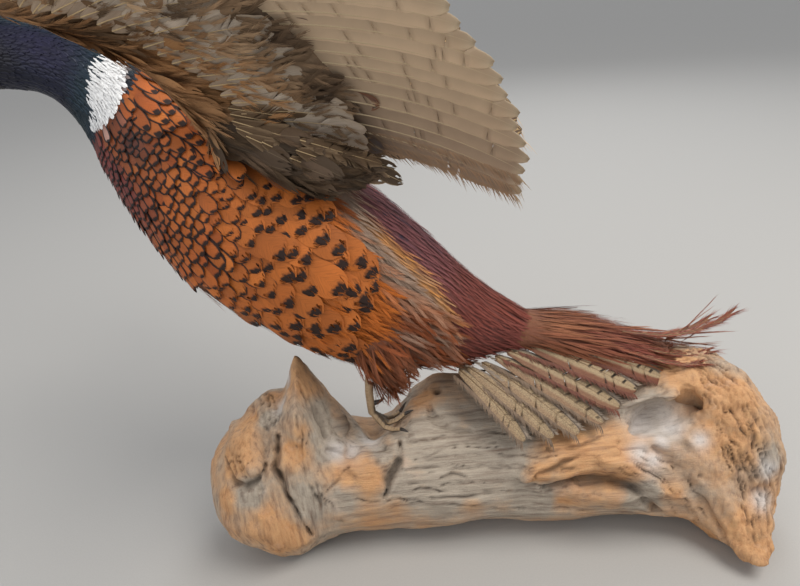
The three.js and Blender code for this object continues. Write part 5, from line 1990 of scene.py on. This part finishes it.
finishes["glass"] = glassFinish()
finishes["bareSkin"] = bareSkinFinish()
finishes["horn"] = hornFinish()
finishes["tuft"] = silkFinish("earSilk")
makeBill()
for headSide, headSign in signOf.items():
    makeEye(headSign, headSide)
    makeWattle(headSign, headSide)
    makeEarTuft(headSign, headSide)
print("head made")

# legs

feet = {
    "left": {"sole": (-0.074, -0.013)}, "right": {"sole": (0.0, 0.043)},
    "spurRise": 0.0084, "plate": 0.0031, "plateHeight": 0.00055, "claws": 3, "bead": 0.0011,
}


def makeLeg(side):
    made = fineNode(f"scaled_leg_{side}", f"leg_{side}", 0.00058, 8)
    mesh = made.data
    points, normals = pointsOf(mesh), normalsOf(mesh)
    soleX, soleY = feet[side]["sole"]
    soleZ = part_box(f"spur_{side}")[0][2] - feet["spurRise"]
    reach = np.hypot(points[:, 0] - soleX, points[:, 1] - soleY)
    rise = points[:, 2] - soleZ
    isToe = smoothStep(0.004, 0.0, rise - 0.0035) * smoothStep(0.002, 0.006, reach)
    along = np.where(isToe > 0.5, reach, rise)
    front = np.where(isToe > 0.5, smoothStep(0.0, 0.35, normals[:, 2]),
                     smoothStep(-0.05, 0.45, -normals[:, 0]))
    plate = np.abs(np.sin(np.pi * along / feet["plate"])) ** 0.45
    cells = noiseAt(points, 0.0013, 51)
    push = feet["plateHeight"] * (plate - 0.55) * front + 0.00022 * cells * (1 - front)
    movePoints(mesh, points + normals * push[:, None])
    sole = isToe * smoothStep(0.15, -0.35, normals[:, 2])
    sole = np.maximum(sole, smoothStep(0.014, 0.004, rise) * smoothStep(0.2, 0.7, normals[:, 0]) * 0.85)
    setAttribute(mesh, "plate", "FLOAT", np.clip(1 - plate, 0, 1) * front)
    setAttribute(mesh, "sole", "FLOAT", sole)
    wear(made, finishes["scaly"])
    finished(made, "legs", f"leg_{side}")
    for name, node in [(f"horny_spur_{side}", f"spur_{side}")] + [
            (f"horny_claw_{side}_{k + 1}", f"claw_{side}_{k + 1}") for k in range(feet["claws"])]:
        claw = fineNode(name, node, 0.00036, 4)
        wear(claw, finishes["claw"])
        finished(claw, "claws", node)


def scalyFinish():
    def paint(sheet):
        plate, sole = sheet.attribute("plate", "Fac"), sheet.attribute("sole", "Fac")
        cloud = sheet.noise(sheet.placed(), 190, 3)
        fine = sheet.noise(sheet.placed(), 1300, 2)
        colour = sheet.mix(cloud, opaque("8f7657"), opaque("c2a583"))
        colour = sheet.mix(plate.between(0.25, 0.9) * 0.7, colour, opaque("5e4a37"))
        colour = sheet.mix(sole * 0.92, colour, opaque("2b2826"))
        return {"Base Color": sheet.scaled(colour, 0.82 + fine * 0.34),
                "Normal": sheet.bump(fine, 0.0003, 0.6)}
    return finishOf("scalyLeg", paint, Roughness=0.55, Specular_IOR_Level=0.4)


def clawFinish():
    def paint(sheet):
        streak = sheet.noise(sheet.placed((500, 500, 900)), 1.0, 3)
        return {"Base Color": sheet.mix(streak, opaque("17130f"), opaque("41362c")),
                "Roughness": 0.30 + streak * 0.2}
    return finishOf("clawHorn", paint, Specular_IOR_Level=0.5)


finishes["scaly"] = scalyFinish()
finishes["claw"] = clawFinish()
for legSide in signOf:
    makeLeg(legSide)
print("legs made")

# driftwood

wood = {
    "voxel": 0.0018, "rounds": 6, "still": 0.004,
    # ridges and grooves: half width and height in mm, how dark (painted shadow in the grooves and the cave,
    # own dark colour on the raised stub), then the picture points it runs through
    "forms": [
        (12.0, 5.5, 0.0, [(236, 425), (243, 447), (254, 468)]),
        (2.6, -6.0, 0.8, [(228, 458), (236, 484), (246, 488), (258, 480), (266, 466)]),
        (5.0, -4.5, 0.15, [(252, 405), (264, 432), (268, 460), (262, 490)]),
        (2.2, 2.0, 0.0, [(262, 392), (272, 425), (272, 462)]),
        (2.0, -8.0, 0.95, [(267, 388), (275, 408), (278, 440), (276, 468), (288, 498), (312, 537)]),
        (8.0, 3.0, 0.0, [(289, 392), (292, 430), (290, 470)]),
        (3.2, -5.0, 0.45, [(309, 398), (320, 420), (326, 438)]),
        (7.0, 9.0, 0.85, [(340, 418), (343, 432)]),
        (4.5, -4.5, 0.1, [(330, 450), (345, 456), (362, 446)]),
        (13.0, 6.5, 0.0, [(352, 468), (368, 470), (382, 462)]),
        (2.8, -8.0, 0.85, [(399, 443), (399, 462), (388, 480), (385, 497)]),
        (9.0, 4.0, 0.0, [(262, 515), (278, 545)]),
        (9.5, -12.0, 0.0, [(634, 428), (655, 413), (676, 406), (690, 404)]),
        (8.0, -9.0, 0.55, [(680, 402), (698, 405)]),
        (1.8, 3.2, 0.0, [(613, 448), (627, 428), (647, 411), (668, 398), (688, 389), (704, 396)]),
        (10.0, 7.0, 0.0, [(524, 476), (548, 460), (580, 453), (612, 452)]),
        (8.5, 6.5, 0.0, [(600, 462), (634, 468), (662, 492), (702, 532), (742, 562), (766, 570)]),
        (5.5, -11.0, 0.8, [(545, 487), (575, 482), (610, 481), (634, 488), (658, 512), (690, 542)]),
        (1.6, -4.0, 0.9, [(532, 474), (556, 466), (577, 455)]),
        (1.4, -3.0, 0.6, [(548, 452), (580, 446), (600, 438)]),
        (5.0, -5.0, 0.25, [(655, 448), (680, 470), (708, 510), (725, 540)]),
        (6.0, 3.0, 0.0, [(690, 440), (712, 470), (735, 520)]),
        (4.0, -4.0, 0.2, [(428, 405), (440, 425), (470, 432)]),
        (1.1, -2.4, 0.6, [(297, 382), (306, 400), (302, 440), (304, 470)]),
        (1.1, -2.4, 0.6, [(303, 470), (318, 500), (345, 522)]),
        (1.0, -2.2, 0.6, [(350, 468), (336, 480), (326, 492)]),
        (1.0, -2.2, 0.5, [(350, 497), (372, 502), (410, 500)]),
        (1.0, -2.2, 0.6, [(398, 500), (470, 497), (560, 490)]),
        (1.0, -1.8, 0.5, [(420, 514), (520, 508), (650, 512)]),
        (1.0, -1.8, 0.5, [(410, 474), (470, 468), (540, 470)]),
        (1.0, -2.0, 0.5, [(414, 462), (450, 446), (500, 440)]),
        (1.6, -3.0, 0.5, [(440, 478), (452, 475), (466, 478)]),
    ],
    # families of fine cracks between two outer ones: how many, half width, height, seed
    "families": [
        (15, 0.85, -2.6, 3, [(690, 348), (735, 366), (765, 412), (784, 470), (780, 530)],
         [(706, 398), (716, 430), (730, 470), (745, 515), (752, 552)]),
        (5, 0.9, -2.2, 4, [(255, 398), (261, 440), (262, 470)], [(274, 388), (284, 430), (279, 466)]),
        (7, 0.8, -2.0, 5, [(606, 404), (650, 384), (694, 372)], [(640, 356), (690, 346), (722, 352)]),
        (7, 0.7, -1.5, 6, [(408, 440), (470, 425), (530, 430)], [(404, 505), (470, 512), (640, 512)]),
        (6, 0.8, -1.8, 7, [(612, 470), (650, 492), (700, 540)], [(640, 446), (690, 480), (738, 560)]),
        (5, 0.7, -1.4, 8, [(296, 402), (296, 450), (300, 500)], [(325, 450), (322, 490), (345, 520)]),
    ],
    # pits: picture point, radius and depth in mm
    "pits": [
        (437, 391, 3.6, 6.0), (286, 371, 1.4, 2.5), (378, 462, 2.8, 1.6), (384, 449, 2.4, 2.0),
        (547, 449, 2.0, 3.0), (325, 487, 2.4, 1.2), (560, 470, 1.6, 2.0), (700, 476, 1.6, 2.2),
    ],
    "worm": {"middle": (243, 462), "reach": 12, "count": 26, "radius": 1.2, "depth": 2.2, "seed": 5},
    # colour patches: picture point and reach in mm
    "warm": [(305, 378, 18), (276, 396, 12), (244, 432, 20), (240, 460, 18), (296, 452, 15), (302, 430, 10),
             (352, 472, 16), (370, 478, 12), (264, 530, 18), (286, 545, 18), (226, 500, 12), (400, 505, 12),
             (660, 360, 20), (690, 372, 20), (622, 444, 20), (560, 452, 22), (540, 472, 10), (740, 400, 22),
             (738, 452, 18), (752, 530, 20), (765, 560, 22), (712, 440, 14), (612, 470, 14), (670, 492, 12),
             (705, 530, 12), (470, 506, 12), (560, 500, 10), (422, 400, 12), (650, 458, 10)],
    "cool": [(328, 446, 14), (322, 414, 12), (430, 450, 34), (480, 470, 36), (540, 500, 24), (650, 424, 20),
             (640, 500, 14), (268, 420, 8), (410, 480, 26), (772, 460, 12), (500, 430, 30), (384, 455, 10),
             (310, 500, 16), (340, 500, 16), (252, 488, 14), (775, 500, 12)],
    "pale": [(283, 404, 8), (338, 452, 9), (352, 450, 9), (372, 440, 10), (645, 425, 16), (670, 425, 14),
             (660, 440, 8), (640, 452, 9), (652, 460, 10), (700, 440, 8), (288, 378, 7), (770, 470, 9),
             (762, 500, 9)],
}


def grainAngle(points):                 # the way the grain runs, against the x axis, seen from the front
    x = points[:, 0]
    left = smoothStep(-0.085, -0.140, x)
    right = smoothStep(0.135, 0.235, x)
    return np.radians(-78 * left - 66 * right + 9 * noiseAt(points, 0.05, 21))


def grainStreaks(points, size, reach, seed):   # noise smeared along the grain
    total = np.zeros(len(points))
    steps = 7
    for way in (-1, 1):
        place = points.copy()
        for k in range(steps):
            angle = grainAngle(place)
            total += noiseAt(place, size, seed)
            place = place + way * reach / steps * np.stack([np.cos(angle), 0 * angle, np.sin(angle)], axis=1)
    return total / (2 * steps) * 2.2


def fineCracks():                       # the families worked out into single short cracks
    cracks = []
    for count, half, height, seed, first, last in wood["families"]:
        rng = np.random.default_rng(seed)
        steps = np.linspace(0, len(first) - 1, 13)
        first, last = rowAt(np.array(first, float), steps), rowAt(np.array(last, float), steps)
        for k in range(count):
            share = (k + rng.uniform(0.15, 0.85)) / count
            line = first + (last - first) * share + rng.normal(0, 0.8, first.shape)
            start = 0
            while start < len(line) - 2:
                end = min(len(line), start + int(rng.integers(3, 8)))
                size = rng.uniform(0.5, 1.4)
                cracks.append((half * rng.uniform(0.8, 1.3), height * size, 0.75 * size,
                               line[start:end].tolist()))
                start = end + int(rng.integers(0, 2)) - 1
    return cracks


def makeLog():
    log = remeshed(shellOf("driftwood", ["driftwood_log"]), wood["voxel"])
    keepLargest(log.data)
    relaxed(log.data, wood["rounds"])
    mesh = log.data
    tree = BVHTree.FromPolygons([v.co.copy() for v in mesh.vertices],
                                [tuple(p.vertices) for p in mesh.polygons])

    def onWood(px, py):
        hit = tree.ray_cast(Vector(view["place"]), pictureRay(px, py))[0]
        return None if hit is None else np.array(hit)

    points, normals = pointsOf(mesh), normalsOf(mesh)
    start = points.copy()
    broad = noiseAt(points, 0.034, 11)
    lumps = noiseAt(points, 0.013, 12)
    streak = grainStreaks(points, 0.0030, 0.034, 13)
    ridge = grainStreaks(points, 0.0075, 0.060, 14)
    rough = smoothStep(0.12, 0.22, points[:, 0])
    push = 0.0022 * broad + 0.0008 * lumps + (0.0005 + 0.0010 * rough) * streak + (0.0014
                                                                                   + 0.0012 * rough) * ridge
    dark = np.zeros(len(points))
    wavy = points + 0.0018 * np.stack([noiseAt(points, 0.009, 31 + k) for k in range(3)], axis=1)
    # dark gathers painted shadow along the cracks, grooves and the cave, and the raised stub's own dark
    # colour
    for half, height, shade, route in wood["forms"] + fineCracks():
        line = [p for p in (onWood(px, py) for px, py in route) if p is not None]
        if len(line) < 2:
            continue
        low, high = np.min(line, axis=0) - 4 * half / 1000, np.max(line, axis=0) + 4 * half / 1000
        near = np.flatnonzero(((wavy > low) & (wavy < high)).all(axis=1))
        if not len(near):
            continue
        far, along = segmentDistance(wavy[near], line)
        wide = half / 1000 * (0.40 + 0.75 * np.sin(np.pi * np.clip(along, 0.03, 0.97)))
        share = np.exp(-(far / wide) ** 2)
        push[near] += height / 1000 * share
        if height < 0 and half < 6:
            push[near] += 0.10 * abs(height) / 1000 * np.exp(-((far - 2.2 * wide) / (1.2 * wide)) ** 2)
        dark[near] = np.maximum(dark[near], share * shade)
    rng = np.random.default_rng(wood["worm"]["seed"])
    worm = wood["worm"]
    holes = list(wood["pits"])
    for k in range(worm["count"]):
        px, py = np.array(worm["middle"]) + rng.normal(0, 0.5, 2) * worm["reach"]
        holes.append((px, py, worm["radius"] * rng.uniform(0.6, 1.2), worm["depth"]))
    for px, py, radius, deep in holes:
        middle = onWood(px, py)
        if middle is None:
            continue
        far = np.linalg.norm(points - middle, axis=1) / (radius / 1000)
        push -= deep / 1000 * np.exp(-far ** 2.6)
        # pits and worm holes are painted darker the deeper they are: painted shade
        dark = np.maximum(dark, np.exp(-far ** 2.6) * min(1.0, deep / 3))
    keep = smoothStep(0.0, wood["still"], start[:, 2])
    keep = np.maximum(keep, (start[:, 2] > 0.0015) * 0.4)
    moved = points + normals * (push * keep)[:, None]
    moved[:, 2] = np.maximum(moved[:, 2], 0)
    movePoints(mesh, moved)

    def patches(name):
        total = np.zeros(len(points))
        for px, py, reach in wood[name]:
            middle = onWood(px, py)
            if middle is not None:
                far = np.linalg.norm(points - middle, axis=1) / (reach / 1000)
                total = np.maximum(total, np.exp(-(far * (1 + 0.25 * lumps)) ** 2))
        return total

    warm = 0.42 + 0.14 * rough + 0.34 * broad + 0.16 * ridge + 0.75 * patches("warm") - 0.85 * patches("cool")
    setAttribute(mesh, "warm", "FLOAT", np.clip(warm, 0, 1))
    setAttribute(mesh, "pale", "FLOAT", patches("pale") * 0.95 + 0.12 * smoothStep(0.3, 0.9, streak))
    # dark: painted shadow in cracks and pits, plus the wood's own darker grain streaks
    setAttribute(mesh, "dark", "FLOAT", np.clip(dark + 0.22 * smoothStep(0.35, 1.0, -streak), 0, 1))
    angle = grainAngle(points)
    setAttribute(mesh, "upright", "FLOAT", smoothStep(0.2, 1.2, np.abs(angle)))
    wear(log, woodFinish())
    return finished(log, "driftwood", "driftwood_log")


def woodFinish():
    def paint(sheet):
        warm, pale, dark = (sheet.attribute(name, "Fac") for name in ("warm", "pale", "dark"))
        upright = sheet.attribute("upright", "Fac")
        lying = sheet.noise(sheet.placed((18, 260, 260)), 1.0, 4, 0.6)
        standing = sheet.noise(sheet.placed((240, 240, 24)), 1.0, 4, 0.6)
        fine = lying + (standing - lying) * upright
        thin = sheet.noise(sheet.placed((60, 1100, 1100)), 1.0, 3, 0.6)
        tall = sheet.noise(sheet.placed((1000, 1000, 70)), 1.0, 3, 0.6)
        thin = thin + (tall - thin) * upright
        cloud = sheet.noise(sheet.placed(), 38, 4, 0.6)
        speck = sheet.noise(sheet.placed(), 900, 2)
        share = (warm * 1.20 + (cloud - 0.5) * 1.5 + (fine - 0.5) * 0.7 - 0.14).clamped()
        grey = sheet.mix((fine * 1.5 - 0.25).clamped(), opaque("827568"), opaque("c4b6a4"))
        tan = sheet.mix((fine * 1.5 - 0.25).clamped(), opaque("b27f57"), opaque("d9ac7e"))
        tan = sheet.mix((cloud - 0.5).most(0) * 1.6, tan, opaque("b87840"))
        colour = sheet.mix(share, grey, tan)
        colour = sheet.mix((pale * 0.9 + (cloud - 0.62).most(0) * 1.6).clamped(), colour, opaque("d3ccc7"))
        lines = (0.47 - fine).most(0) * 3.2 + (0.40 - thin).most(0) * 2.2
        colour = sheet.mix((lines * 0.7).clamped(), colour, opaque("6d5240"))
        # painted shadow in cracks and pits, with the wood's own dark streaks and stub
        colour = sheet.mix(dark * 0.88, colour, opaque("3a2d24"))
        colour = sheet.scaled(colour, speck * 0.3 + 0.85)
        return {"Base Color": colour, "Roughness": 0.78 + speck * 0.15,
                "Normal": sheet.bump(fine + thin * 0.6 + speck * 0.25, 0.0012, 0.9)}
    return finishOf("driftwood", paint, Specular_IOR_Level=0.3)


log = makeLog()
print("driftwood:", len(log.data.polygons), "faces")

# floor, light and camera

stage = {
    "floorColour": "aeaba7", "reach": 30.0,
}


def makeFloor():
    r = stage["reach"]
    floor = newObject("floor", newMesh("floor", [(-r, -r, 0), (r, -r, 0), (r, r, 0), (-r, r, 0)],
                                       [(0, 1, 2, 3)]))

    def paint(sheet):
        grain = sheet.noise(sheet.placed(), 700, 2)
        return {"Base Color": sheet.scaled(sheet.mix(0.0, opaque(stage["floorColour"]), opaque("ffffff")),
                                           grain * 0.12 + 0.92)}
    wear(floor, finishOf("paleFloor", paint, Roughness=0.7))


def areaLight(name, place, target, size, power, colour=(1, 1, 1)):
    data = bpy.data.lights.new(name, "AREA")
    data.shape = "DISK"
    data.size = size
    data.energy = power
    data.color = colour
    lamp = bpy.data.objects.new(name, data)
    bpy.context.scene.collection.objects.link(lamp)
    lamp.location = place
    lamp.rotation_euler = (Vector(target) - Vector(place)).to_track_quat("-Z", "Y").to_euler()


def makeLight():
    world = bpy.data.worlds.new("studio")
    bpy.context.scene.world = world
    world.use_nodes = True
    sky = world.node_tree.nodes["Background"]
    sky.inputs["Color"].default_value = (0.93, 0.96, 1.0, 1)
    sky.inputs["Strength"].default_value = 0.62
    middle = (-0.05, 0.0, 0.25)
    areaLight("key", (0.9, -0.5, 2.1), middle, 1.4, 37, (1.0, 0.97, 0.92))
    areaLight("fill", (-1.6, -1.5, 1.2), middle, 1.6, 10)
    areaLight("rear", (0.6, 2.0, 1.8), middle, 1.4, 18, (0.95, 0.98, 1.0))


def makeCamera():
    across, above, ahead = viewAxes()
    data = bpy.data.cameras.new("camera")
    data.sensor_fit = "HORIZONTAL"
    data.sensor_width = 36
    data.lens = 36 * view["focal"] / view["picture"][0]
    data.clip_start = 0.01
    camera = bpy.data.objects.new("camera", data)
    bpy.context.scene.collection.objects.link(camera)
    camera.matrix_world = Matrix.Translation(view["place"]) @ Matrix((across, above,
                                                                      -ahead)).transposed().to_4x4()
    bpy.context.scene.camera = camera


makeFloor()
makeLight()
makeCamera()
bpy.context.scene.view_settings.view_transform = "Standard"
